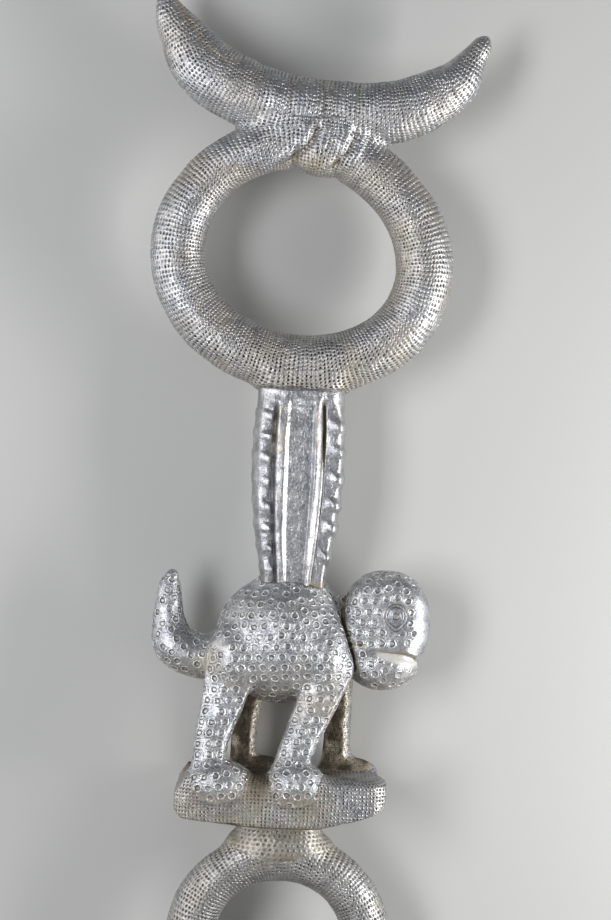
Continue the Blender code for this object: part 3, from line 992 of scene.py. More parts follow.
def tube_net(path: Path, punching: Punching, columns: int, flatten: float = 1.0) -> Net:
    """A net round a tube, its row lines standing square to the path, its front column facing +Z.

    A point lies at the line plus the radius times (cos a · front · flatten + sin a · side), with the
    side to the right of the way along the path.

    Args:
        path: the tube's line and radii.
        punching: the dots that the rows follow.
        columns: points round the section.
        flatten: depth of the section over its width.

    Returns:
        The net, not yet beaten or punched.
    """
    walked, rows = even_steps(path.line, punching.row_pitch, path.closed)
    lines = row_lines(rows)
    wanted = (lines[:-1] if path.closed else lines) / rows * walked[-1]
    ends = np.vstack([path.line, path.line[:1]]) if path.closed else path.line
    radii = np.append(path.radii, path.radii[0]) if path.closed else path.radii

    def at(places: Array) -> Array:
        """The line at distances walked, with one step more of it past either end."""
        return np.stack([np.interp(places, walked, ends[:, k], 2 * ends[0, k] - ends[1, k],
                                   2 * ends[-1, k] - ends[-2, k]) for k in range(3)], axis=-1)

    way = unit(at(wanted + 0.0004) - at(wanted - 0.0004))
    side = np.stack([way[:, 1], -way[:, 0], np.zeros(len(way))], axis=-1)
    sine, cosine = circle(columns)
    ring = cosine[:, None] * np.array([0.0, 0.0, flatten]) + sine[:, None] * side[:, None, :]
    points = at(wanted)[:, None, :] + np.interp(wanted, walked, radii)[:, None, None] * ring
    round_way = np.cross(ring, way[:, None, :])
    for step, (size, reach) in enumerate(punching.drifts, start=1):
        drift = smooth_noise(points, size, punching.seed + 10 * step)
        twist = smooth_noise(points, size, punching.seed + 10 * step + 5)
        points = points + reach * (drift[..., None] * way[:, None, :] + twist[..., None] * round_way)
    row_radii = np.interp((np.arange(rows) + 0.5) / rows * walked[-1], walked, radii)
    courses = punching.courses(rows, row_radii * (1.0 + flatten) / 2.0, columns)
    return Net(points, courses, path.closed)


def circle(columns: int) -> tuple[Array, Array]:
    """Sine and cosine at even steps round a section that starts at the front."""
    angle = 2.0 * np.pi * (np.arange(columns) / columns)
    return np.sin(angle), np.cos(angle)


def rows_of(across: Array, stations: Array, depth: Array) -> Array:
    """Rows of points round the axis: one station to a row, across and depth for every point."""
    return np.stack(np.broadcast_arrays(across, stations[:, None], depth), axis=-1)


@dataclass
class Piece:
    """A finished piece of the staff and how it is shown."""

    name: str
    finish: SilverSheet

    def dress(self, obj: Object) -> Object:
        """Gives the object its finish, and lets it stand for the carved solid."""
        known = bpy.data.materials.get(self.finish.name)
        obj.data.materials.append(known or self.finish.material())
        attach(obj, BODY)
        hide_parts(NODE)
        triangles = len(obj.data.loops) - 2 * len(obj.data.polygons)
        log.info("%s: %d triangles, %s", obj.name, triangles, self.finish.sheath.value)
        return obj

    def clothe(self, net: Net, punch: Array, tarnish: Array,
               name: str | None = None) -> Object:
        """Makes the dressed object of a finished net.

        Args:
            net: the net, raised by its relief.
            punch: how strongly the finish marks each dot.
            tarnish: how thick the brown film is; on the plinth it also holds painted shade and light.
            name: the object's name, if it isn't the piece's own.

        Returns:
            The object.
        """
        values = {"punch": punch, "tarnish": np.clip(tarnish, 0.0, 1.0)}
        return self.dress(net.build(name or self.name, values))


def junction_fillet(points: Array) -> Array:
    """How widely forms melt: 3.5 mm at the notches, 8.5 mm in the hollow between, 5 mm at the column."""
    x, y = points[..., 0], points[..., 1]
    return 0.0035 + 0.005 * smoothstep(0.029, 0.012, np.abs(x - 0.001)) * (y > 0.06) + 0.0015 * (y < 0.03)


# Folds over and under the seam of ring and crescent, in mm: middle, drift to the left, width and height.
UPPER_FOLDS = ((-13.5, 0.0, 3.0, 0.60), (-1.0, 0.0, 2.8, 0.60), (12.2, 0.0, 2.6, 0.65),
               (24.0, 0.0, 3.4, 0.40), (3.8, 0.0, 1.1, -0.75), (16.4, 0.0, 1.1, -0.65),
               (-8.0, 0.0, 1.1, -0.70))
LOWER_FOLDS = ((-2.0, -9.5, 1.9, 0.90), (1.7, -8.3, 1.2, -1.50), (5.4, -6.0, 2.3, 0.80),
               (12.0, -5.5, 2.1, 0.90), (15.6, -5.6, 1.1, -1.05), (18.2, -4.0, 1.4, 0.60),
               (20.8, -3.0, 1.1, -0.45), (-16.0, -6.0, 2.8, 0.40))


def gathers(points: Array, outward: Array) -> Array:
    """Height of the broad folds where the sheet is gathered between the crescent and the ring's hole.

    Each fold is a bell across a line; the lower lines bend to the left as they go down. A level crease
    runs where the two sheets meet.
    """
    x, y = points[..., 0], points[..., 1]
    upper = between(y, (0.1010, 0.1045), (0.1185, 0.1135))
    lower = between(y, (0.080, 0.084), (0.0995, 0.096))
    lean = (0.097 - y) / 0.012
    bend = 0.16 * lean + 0.84 * lean ** 2
    height = np.zeros_like(x)
    for folds, place in ((UPPER_FOLDS, upper), (LOWER_FOLDS, lower)):
        for middle, drift, width, size in folds:
            height += 0.001 * size * bell(x, 0.001 * (middle + drift * bend), 0.001 * width) * place
    level = bell(y, 0.1012 + 0.0012 * smooth_noise(points, 0.006, 43), 0.00045)
    height -= 0.00030 * level * between(x, (-0.018, -0.012), (0.014, 0.010))
    return height * smoothstep(0.05, 0.45, outward[..., 2])


@dataclass
class UpperRing(Piece):
    """The oval ring that leans a little to the left, with folds of sheet hanging into its hole."""

    half_width: float = 0.0443
    half_height: float = 0.0392
    radius: float = 0.00995
    swell: float = 0.0006
    swell_turn: float = math.radians(-54)
    lean: float = -0.064
    narrowing: float = 0.05
    across: float = -0.0019
    seat: float = 0.0028
    skirt_depth: float = 0.0022

    def path(self) -> Path:
        """A leaning oval: rise = h sin t, across = w cos t (1 - n sin t) + lean · rise."""
        turn = np.linspace(0.0, 2.0 * np.pi, 720, endpoint=False)
        rise = self.half_height * np.sin(turn)
        across = self.half_width * np.cos(turn) * (1.0 - self.narrowing * np.sin(turn)) + self.lean * rise
        middle = self.seat + self.radius + self.half_height
        line = np.stack([self.across + across, middle + rise, np.zeros_like(turn)], axis=-1)
        return Path(line, self.radius + self.swell * np.cos(turn - self.swell_turn), True)

    def form(self) -> Form:
        """The ring's tube as a formula."""
        return self.path().form(72)

    def build(self, crescent: Form, column: Form) -> Object:
        """Makes the ring between the crescent above it and the column below it."""
        punching = Punching(seed=21)
        net = tube_net(self.path(), punching, 126)
        points = net.points
        others = Union((crescent, column), 0.002)
        lap = np.where(points[..., 1] < 0.03, 0.010, LAP)
        shown, outward = settle(points, self.form(), others, junction_fillet(points), lap)
        relief, hit = punching.relief(net)
        fold, brown = self.folds(points)
        height = relief * shown + Beating(seed=31).height(points) + fold + gathers(points, outward)
        height = height - self.skirt_depth * self.skirt(points)
        tarnish = self.tarnish(points) + brown + 0.22 * hollows(height)
        worn = 1.0 + 0.7 * smoothstep(0.026, 0.016, points[..., 1])
        net.points = points + outward * height[..., None]
        return self.clothe(net, worn * hit * shown, tarnish)

    def skirt(self, points: Array) -> Array:
        """How far a point lies under the sheet that laps down over the column's head."""
        x, y = points[..., 0], points[..., 1]
        edge = 0.0046 + 0.0005 * smooth_noise(points[..., :1], 0.0035, 35)
        return smoothstep(0.0006, -0.0006, y - edge) * smoothstep(0.0170, 0.0152, np.abs(x - 0.0006))

    def folds(self, points: Array) -> tuple[Array, Array]:
        """Upright folds where the sheet is gathered at the top of the hole, and their tarnish."""
        x, y = points[..., 0], points[..., 1]
        under = smoothstep(0.0935, 0.0865, y) * smoothstep(0.074, 0.079, y)
        height = 0.0012 * bell(x, 0.0012, 0.0048) * bell(y, 0.0830, 0.0060)
        height -= (0.0016 * bell(x, -0.0056, 0.0014) + 0.0010 * bell(x, 0.0088, 0.0015)) * under
        height -= 0.0006 * bell(y, 0.080, 0.005) * (1.0 - bell(x, 0.0020, 0.0065))
        return height, 0.55 * bell(x, 0.0015, 0.0062) * bell(y, 0.0845, 0.0036)

    def tarnish(self, points: Array) -> Array:
        """More at the bottom of the ring and on its inner right side."""
        x, y = points[..., 0], points[..., 1]
        inner = bell(x, 0.034, 0.006) * bell(y, 0.050, 0.022)
        return 0.10 + 0.20 * bell(y, 0.008, 0.012) + 0.25 * inner + 0.10 * smooth_noise(points, 0.006, 41)


@dataclass
class Crescent(Piece):
    """The two horns over the upper ring, uneven, each drawn out to a blunt point.

    Attributes:
        span, seat: width over both tips, and station of the lowest part's middle line.
        shares: knots of the middle line, across and up, and the radius there, as shares of the span.
        tip, run: where the crease down the left horn starts, and which way it goes.
    """

    span: float = 0.1215
    seat: float = 0.0885
    flatten: float = 0.88
    shares: tuple[Place, ...] = (
        (-0.451, 0.473, 0.006), (-0.441, 0.410, 0.037), (-0.400, 0.337, 0.066), (-0.317, 0.231, 0.094),
        (-0.148, 0.148, 0.096), (0.066, 0.124, 0.089), (0.255, 0.134, 0.091), (0.403, 0.212, 0.072),
        (0.459, 0.292, 0.042), (0.487, 0.334, 0.031), (0.499, 0.352, 0.019), (0.506, 0.363, 0.004))
    tip: tuple[float, float] = (-0.0503, 0.1403)
    run: tuple[float, float] = (0.632, -0.775)

    def path(self) -> Path:
        """A smooth curve through the shares of the span."""
        rows = spline(np.array(self.shares), 400) * self.span
        line = np.stack([rows[:, 0], self.seat + rows[:, 1], np.zeros(len(rows))], axis=-1)
        return Path(line, np.maximum(rows[:, 2], 0.0006), False)

    def form(self) -> Form:
        """The crescent's tube as a formula."""
        return self.path().form(48, self.flatten)

    def build(self, ring: Form) -> Object:
        """Makes the crescent on the ring."""
        punching = Punching(seed=51)
        net = tube_net(self.path(), punching, 132, self.flatten)
        points = net.points
        shown, outward = settle(points, self.form(), ring, junction_fillet(points), LAP)
        relief, hit = punching.relief(net)
        worked = 1.0 - self.burnished(points, outward)
        crease = self.crease(points, outward)
        height = relief * shown * worked + Beating(seed=61).height(points)
        height += gathers(points, outward) - 0.0008 * crease
        # The crease is darkened with film and painted shade, as well as dented.
        tarnish = 0.08 + 0.10 * smooth_noise(points, 0.007, 71) + 0.18 * hollows(height) + 0.55 * crease
        net.points = points + outward * height[..., None]
        return self.clothe(net, hit * shown * worked, tarnish)

    def burnished(self, points: Array, outward: Array) -> Array:
        """How unpunched the sheet is: a band on the right horn's upper edge, and both tips."""
        x, y = points[..., 0], points[..., 1]
        upward = 0.8 * outward[..., 1] - 0.6 * outward[..., 0]
        band = smoothstep(0.038, 0.046, x) * smoothstep(0.46, 0.60, upward)
        return np.clip(band + smoothstep(0.1395, 0.1425, y), 0.0, 1.0)

    def crease(self, points: Array, outward: Array) -> Array:
        """How near a point lies to the long crease down the left horn's inner side."""
        (left, high), (across, up) = self.tip, self.run
        x, y = points[..., 0] - left, points[..., 1] - high
        run = x * across + y * up
        aside = x * up - y * across + 0.0011 * smooth_noise(points, 0.006, 72)
        aside += 0.0022 * smoothstep(0.018, 0.036, run) - 0.0010
        ends = between(run, (-0.002, 0.002), (0.036, 0.020))
        ends = ends * (0.75 + 0.35 * smooth_noise(points, 0.003, 73))
        return bell(aside, 0.0, 0.0007) * ends * smoothstep(0.0, 0.4, outward[..., 2])


@dataclass
class Column(Piece):
    """The plain column: a flat band between two rails, and a rippled fin on each side.

    Attributes:
        length, across: from the ring to the animal's back, and how far its middle lies off the axis.
        stations, half_widths: the section's half width along it, at shares of the length.
        depth_stations, half_depths: the same for its half depth.
        left_section, right_section: each half's outline, in shares of the half width and half depth.
        pitches, starts, slants: for the bars of the left and the right fin, the distance from bar to
            bar, the first one's station, and how much they lean.
        bar_widths, bar_heights, bar_bases: half width of a bar, its height, and its base's depth.
    """

    length: float = 0.064
    across: float = 0.0006
    stations: tuple[float, ...] = (-0.14, 0.00, 0.16, 0.35, 0.55, 0.75, 0.91, 1.00, 1.15)
    half_widths: tuple[float, ...] = (
        0.0155, 0.0156, 0.0165, 0.0168, 0.0162, 0.0147, 0.0128, 0.0118, 0.0118)
    depth_stations: tuple[float, ...] = (-0.14, -0.03, 0.15, 0.55, 0.90, 1.15)
    half_depths: tuple[float, ...] = (0.0096, 0.0100, 0.0122, 0.0124, 0.0112, 0.0096)
    left_section: tuple[Pair, ...] = (
        (0.000, 0.86), (0.170, 0.86), (0.200, 0.861), (0.225, 0.875), (0.250, 0.900), (0.275, 0.932),
        (0.300, 0.952), (0.335, 0.958), (0.400, 0.950), (0.450, 0.935), (0.478, 0.880), (0.498, 0.740),
        (0.522, 0.630), (0.548, 0.620), (0.572, 0.700), (0.600, 0.745), (0.640, 0.755), (0.700, 0.750),
        (0.800, 0.730), (0.840, 0.700), (0.880, 0.620), (0.950, 0.400), (1.000, 0.100))
    right_section: tuple[Pair, ...] = (
        (0.000, 0.86), (0.270, 0.86), (0.300, 0.868), (0.320, 0.905), (0.340, 0.960), (0.360, 0.980),
        (0.385, 0.970), (0.420, 0.948), (0.455, 0.908), (0.480, 0.855), (0.497, 0.740), (0.515, 0.620),
        (0.540, 0.590), (0.556, 0.630), (0.572, 0.700), (0.592, 0.728), (0.650, 0.733), (0.790, 0.733),
        (0.860, 0.722), (0.905, 0.685), (0.940, 0.600), (0.968, 0.440), (0.985, 0.280), (1.000, 0.100))
    pitches: Pair = (0.0080, 0.0094)
    starts: Pair = (-0.0053, -0.0075)
    slants: Pair = (-0.003, 0.006)
    bar_widths: Pair = (0.0018, 0.0021)
    bar_heights: Pair = (0.00120, 0.00160)
    bar_bases: Pair = (0.00015, 0.00035)

    def form(self) -> Form:
        """The column as a post, for what melts into it."""
        shares = np.array(self.stations)
        depths = np.interp(shares, self.depth_stations, self.half_depths) * 0.95
        return Post(tuple(-shares * self.length), self.half_widths, tuple(depths), 0.006, self.across)

    def outlines(self) -> tuple[Array, Array]:
        """The section's outline with rails and fins, and the rounded one that it grows out of."""
        sides = []
        for section in (self.right_section, self.left_section):
            quarter = spline(np.array(section), 66)
            sides.append(np.vstack([quarter, (quarter * [1.0, -1.0])[::-1]]))
        carved = np.vstack([sides[0][:-1], (sides[1] * [-1.0, 1.0])[::-1][:-1]])
        plain = carved.copy()
        plain[:, 1] = np.sign(carved[:, 1]) * 0.97 * (1.0 - np.abs(carved[:, 0]) ** 4.5) ** (1.0 / 2.6)
        plain[:, 1] = np.where(np.abs(plain[:, 1]) < 0.1, carved[:, 1], plain[:, 1])
        return carved, plain

    def build(self) -> Object:
        """Makes the column: its section drawn downwards, smooth under the ring and carved below that."""
        shares = np.linspace(-0.13, 1.10, 250)
        carved, plain = self.outlines()
        wide = np.interp(shares, self.stations, self.half_widths)[:, None]
        deep = np.interp(shares, self.depth_stations, self.half_depths)[:, None]
        y = np.broadcast_to(-shares[:, None] * self.length, (len(shares), len(carved)))
        covered = smoothstep(-0.0042, 0.0012, y + 0.0012 * np.sin(carved[:, 0] * 9.0))
        depth = carved[:, 1] + (plain[:, 1] - carved[:, 1]) * covered
        points = np.stack([self.across + wide * carved[:, 0], y, deep * depth], axis=-1)
        part = np.broadcast_to(np.abs(carved[:, 0]), y.shape)
        right = np.broadcast_to(carved[:, 0] > 0, y.shape)
        side = np.sign(points[..., 2])
        ripple, swing = self.ripples(y, part, right)
        shallow = right * bell(part, 0.530, 0.035) * smoothstep(-0.012, -0.026, y)
        lift = ripple * (1.0 - covered) + 0.0017 * shallow - 0.0024 * smoothstep(0.0034, 0.0064, y)
        points[..., 2] += side * lift
        points[..., 0] += np.where(right, 1.0, -0.5) * swing * (1.0 - covered)
        points[..., 2] += side * self.wear(points, part, right, covered)
        lap = smoothstep(-0.00195, -0.00165, y) * (part < 0.56) * (side > 0)
        points[..., 2] += 0.00022 * lap
        return self.clothe(Net(points), np.zeros_like(y), self.tarnish(points, part, right, 1.0 - covered))

    def rails(self, part: Array, right: Array, middle: float) -> Array:
        """How near a point is to its side's rail, the right one's middle being given."""
        return np.where(right, bell(part, middle, 0.06), bell(part, 0.345, 0.09))

    def wear(self, points: Array, part: Array, right: Array,
             covered: Array) -> Array:
        """Height of the dents in the fins and rails; it also bends the rails' points sideways."""
        fin = smoothstep(0.52, 0.60, part)
        rail = self.rails(part, right, 0.40)
        height = (0.00005 + 0.00020 * fin) * smooth_noise(points, 0.0044, 81)
        height += 0.00040 * rail * smooth_noise(points, 0.0046, 88)
        for reach, size, seed in ((0.00045, 0.0085, 89), (0.00022, 0.0032, 92)):
            points[..., 0] += reach * rail * smooth_noise(points * [0.2, 1.0, 0.2], size, seed)
        height += (0.00004 + 0.00008 * fin) * smooth_noise(points, 0.0017, 82)
        return height + 0.00014 * covered * smooth_noise(points, 0.0024, 85)

    def ripples(self, y: Array, part: Array, right: Array) -> tuple[Array, Array]:
        """Bars across each fin: flat-topped bells, e to the minus cube of the distance over the width.

        Args:
            y: stations.
            part: distance from the middle as a share of the half width.
            right: whether a point is on the right.

        Returns:
            How much the sheet rises towards the front, and how far the fin's edge swings outward.
        """
        pairs = (self.pitches, self.starts, self.slants, self.bar_widths, self.bar_heights, self.bar_bases)
        pitch, start, slant, width, high, base = (np.where(right, pair[1], pair[0]) for pair in pairs)
        wander = 0.0011 * smooth_noise(np.stack([y, part * 0.02 + right], axis=-1), 0.009, 84)
        place = (y - start + slant * (part - 0.75) + wander) / pitch
        crest = np.exp(-np.abs((place - np.round(place)) * pitch / width) ** 3)
        strength = 1.0 + 0.35 * smooth_noise(np.stack([place, 9.0 * right], axis=-1), 1.3, 86)
        ramp = np.where(right, between(part, (0.57, 0.92), (1.0, 0.95)),
                        smoothstep(0.555, 0.60, part) * np.clip((0.92 - part) / 0.30, 0.0, 1.0))
        ends = smoothstep(-0.0635, -0.058, y)
        rise = strength * (high * crest - base) * ramp * ends
        swing = 0.00080 * strength * (crest - 0.35) * smoothstep(0.78, 1.0, part) * ends
        return rise, swing

    def tarnish(self, points: Array, part: Array, right: Array,
                bare: Array) -> Array:
        """Film in both grooves, most near the top, and along the lap in the sheet under the ring."""
        y = points[..., 1]
        groove = np.where(right, bell(part, 0.52, 0.035), bell(part, 0.50, 0.030))
        high = np.where(right, smoothstep(-0.034, -0.012, y), smoothstep(-0.030, -0.001, y))
        tarnish = 0.05 + groove * (0.12 + 0.80 * high) * bare + 0.08 * smooth_noise(points, 0.008, 83)
        seam = bell(y, -0.0018, 0.00028) * (part < 0.58)
        seam = seam * smoothstep(-0.4, 0.6, smooth_noise(points, 0.004, 87))
        foot = 0.5 * smoothstep(-0.0638, -0.0656, y + 0.0008 * smooth_noise(points, 0.003, 90))
        worn = 0.12 + 0.25 * smooth_noise(points, 0.0030, 93) + 0.25 * smoothstep(-0.022, -0.010, y)
        return tarnish + 0.6 * seam + foot + worn * self.rails(part, right, 0.38) * bare


@dataclass
class Plinth(Piece):
    """The slab that the animal stands on, its top sloping down a little towards the front.

    With t running from 0 at the top to half a turn at the underside and a going round, the slab's
    spread is (sin t) to the rim's power, x and z are the half sizes times the spread and cos a or
    sin a to the plan's power, and y is the half height times cos t to the rim's power.

    Attributes:
        across, station: where the slab's middle lies.
        plan_power, rim_power: how square its plan and its rim are, less being squarer.
        facets: planes that it is cut back to: a point and the way each faces.
    """

    half_width: float = 0.0388
    half_height: float = 0.0104
    half_depth: float = 0.0238
    across: float = -0.0004
    station: float = -0.1425
    plan_power: float = 0.24
    rim_power: float = 0.32
    facets: tuple[Plane, ...] = (
        ((0.0, -0.1338, 0.010), (0.0, 0.9966, -0.082)),
        ((0.0, -0.1512, 0.0), (0.0, -1.0, 0.0)),
        ((0.0372, 0.0, 0.0), (1.0, 0.0, 0.0)),
        ((0.0307, -0.1349, -0.022), (0.616, 0.779, -0.128)),
        ((0.0354, -0.1436, 0.0), (0.62, -0.78, 0.0)),
        ((0.0244, -0.1480, 0.0), (0.294, -0.956, 0.0)),
        ((-0.0250, -0.1502, 0.0), (-0.10, -0.995, 0.0)),
        ((-0.0380, 0.0, 0.0), (-1.0, 0.0, 0.0)),
        ((-0.0366, -0.1386, 0.0), (-0.83, 0.55, 0.0)),
        ((-0.0363, -0.1481, 0.0), (-0.70, -0.71, 0.0)),
        ((0.0, -0.1354, 0.0224), (0.0, 0.66, 0.75)),
        ((0.0354, 0.0, 0.0210), (0.62, 0.0, 0.78)),
        ((0.0354, 0.0, -0.0210), (0.62, 0.0, -0.78)),
        ((-0.0366, 0.0, 0.0208), (-0.60, 0.0, 0.80)),
        ((-0.0366, 0.0, -0.0208), (-0.60, 0.0, -0.80)),
        ((0.0, 0.0, 0.0224), (0.0, 0.0, 1.0)),
        ((0.0, 0.0, -0.0224), (0.0, 0.0, -1.0)),
    )

    def form(self) -> Form:
        """The slab as a formula, its ends and faces cut flat."""
        slab = Slab((self.across, self.station, 0.0), (self.half_width, self.half_height, self.half_depth),
                    2.0 / self.plan_power, 2.0 / self.rim_power)
        return Pared(slab, tuple(Facet(*facet) for facet in self.facets), 0.0006)

    def net(self, punching: Punching) -> Net:
        """Closed rows round the slab, from the middle of its top to the middle of its underside."""
        half_turn = np.linspace(0.0004, math.pi - 0.0004, 6000)
        spread = powered(np.sin(half_turn), self.rim_power)
        rise = powered(np.cos(half_turn), self.rim_power)
        profile = np.stack([self.half_width * spread, self.half_height * rise], axis=-1)
        walked, rows = even_steps(profile, punching.row_pitch, False)
        wanted = row_lines(rows) / rows * walked[-1]
        turn = np.linspace(0.0, 2.0 * np.pi, 4001)
        plan = np.stack([powered(np.sin(turn), self.plan_power) * self.half_width,
                         powered(np.cos(turn), self.plan_power) * self.half_depth], axis=-1)
        around, dots = even_steps(plan[:-1], punching.dot_pitch, True)
        columns = 2 * dots
        places = np.arange(columns) / columns * around[-1]
        x, z = (np.interp(places, around, plan[:, k]) for k in (0, 1))
        row_spread = np.interp(wanted, walked, spread)[:, None]
        stations = self.station + self.half_height * np.interp(wanted, walked, rise)
        middles = np.interp((np.arange(rows) + 0.5) / rows * walked[-1], walked, spread)
        radii = around[-1] / (2.0 * np.pi) * np.minimum(middles / 0.9, 1.0)
        courses = punching.courses(rows, radii, columns)
        courses = replace(courses, shifts=courses.shifts * 0.35)
        return Net(rows_of(self.across + row_spread * x, stations, row_spread * z), courses)

    def build(self, animal: Form, neck: Form) -> Object:
        """Makes the slab between the animal and the neck."""
        punching = Punching(0.00132, 0.00136, 0.00042, 0.00044, 0.00024, seed=91)
        net = self.net(punching)
        own = self.form()
        net.points = points = laid_on(own, net.points)
        shown, outward = settle(points, own, Union((animal, neck), 0.001), 0.0026, 0.0012)
        relief, hit = punching.relief(net)
        height = relief * shown + Beating(0.00045, 0.00014, 93).height(points)
        tarnish = self.tarnish(points) + 0.25 * hollows(height)
        worn = 1.15 + 0.20 * smoothstep(0.008, 0.016, points[..., 0])
        net.points = points + outward * height[..., None]
        return self.clothe(net, worn * hit * shown, tarnish)

    def tarnish(self, points: Array) -> Array:
        """Brown on the underside and at the left; brown film and painted shade between the paws and on the
        top behind the legs; less film towards the right end, painted light where the right lamp falls.
        """
        x, y, z = np.moveaxis(points, -1, 0)
        tarnish = 0.36 + 0.5 * smoothstep(-0.1492, -0.1517, y) * smoothstep(0.030, 0.016, np.abs(x))
        # Between the paws: brown film and painted shade.
        tarnish += 0.55 * bell(x, -0.009, 0.006) * smoothstep(-0.145, -0.136, y)
        # The top behind the legs: brown film and painted shade.
        top = smoothstep(-0.1405, -0.1355, y) * smoothstep(0.012, -0.004, z)
        tarnish += 0.45 * top * smoothstep(0.03, 0.01, x)
        tarnish += 0.30 * smoothstep(-0.031, -0.037, x) * smoothstep(-0.142, -0.151, y)
        # Less film towards the right end: painted light where the right lamp falls.
        return tarnish + 0.12 * smooth_noise(points, 0.006, 95) - 0.24 * smoothstep(0.012, 0.022, x)


@dataclass
class LowerRing(Piece):
    """The round ring under the plinth, joined to it by a short neck of yellowed sheet.

    Attributes:
        half_size, radius: of the tube's middle line, and of the tube.
        across, station: where the ring's middle lies.
        shoulder: half sizes of the ball that widens the neck at the ring.
        neck_widths, neck_depths: the neck's stations, and its half width or half depth at each.
    """

    half_size: float = 0.0324
    radius: float = 0.0088
    across: float = 0.0013
    station: float = -0.1979
    neck_half_width: float = 0.0152
    neck_half_depth: float = 0.0088
    shoulder: Place = (0.0195, 0.0105, 0.0099)
    neck_widths: tuple[tuple[float, ...], tuple[float, ...]] = (
        (-0.1740, -0.1680, -0.1625, -0.1580, -0.1550, -0.1465),
        (0.0090, 0.0170, 0.0195, 0.0180, 0.0152, 0.0152))
    neck_depths: tuple[tuple[float, ...], tuple[float, ...]] = (
        (-0.1740, -0.1680, -0.1625, -0.1560, -0.1465), (0.0040, 0.0085, 0.0099, 0.0090, 0.0088))
    neck_dots: int = 56

    def path(self) -> Path:
        """A circle."""
        turn = np.linspace(0.0, 2.0 * np.pi, 720, endpoint=False)
        line = np.stack([self.across + self.half_size * np.cos(turn),
                         self.station + self.half_size * np.sin(turn), np.zeros_like(turn)], axis=-1)
        return Path(line, np.full(720, self.radius), True)

    def form(self) -> Form:
        """The ring's tube as a formula."""
        return self.path().form(72)

    def neck(self) -> Form:
        """The neck as a post with rounded sides, and a ball at its lower end."""
        wide, deep = self.neck_half_width, self.neck_half_depth
        post = Post((-0.146, -0.164), (wide, wide), (deep, deep), deep * 0.96, 0.0)
        return Union((post, Ball((0.0, -0.1625, 0.0), self.shoulder)), 0.002)

    def build(self, shaft: Form) -> Object:
        """Makes the ring between the neck above it and the shaft below it."""
        punching = Punching(seed=101)
        net = tube_net(self.path(), punching, 112)
        points = net.points
        shown, outward = settle(points, self.form(), Union((self.neck(), shaft), 0.0005), 0.0035, LAP)
        relief, hit = punching.relief(net)
        height = relief * shown + Beating(seed=103).height(points)
        tarnish = 0.20 + 0.40 * smoothstep(-0.166, -0.154, points[..., 1])
        tarnish += 0.10 * smooth_noise(points, 0.006, 104) + 0.22 * hollows(height)
        net.points = points + outward * height[..., None]
        return self.clothe(net, hit * shown, tarnish)

    def build_neck(self, plinth: Form) -> Object:
        """Makes the neck: an oval section drawn down from inside the plinth to inside the ring."""
        punching = Punching(seed=111)
        rows, columns = 17, 3 * self.neck_dots
        marks = row_lines(rows)
        sine, cosine = circle(columns)
        y = -0.1465 - marks / rows * 0.0270
        wide = np.interp(y, *self.neck_widths)[:, None]
        deep = np.interp(y, *self.neck_depths)[:, None]
        shifts = np.append(hashed(np.arange(rows)[:, None], 112), 0.0)
        courses = Courses(marks, np.append(np.arange(columns) / columns, 1.0),
                          np.full(rows + 1, self.neck_dots), shifts)
        net = Net(rows_of(wide * sine, y, deep * cosine), courses)
        points = net.points
        shown, outward = settle(points, self.neck(), Union((plinth, self.form()), 0.0005), 0.003, LAP)
        relief, hit = punching.relief(net)
        height = relief * shown * 0.7 + Beating(seed=113).height(points)
        tarnish = 0.55 + 0.2 * smooth_noise(points, 0.005, 114)
        net.points = points + outward * height[..., None]
        return self.clothe(net, hit * shown * 0.8, tarnish, "neck")


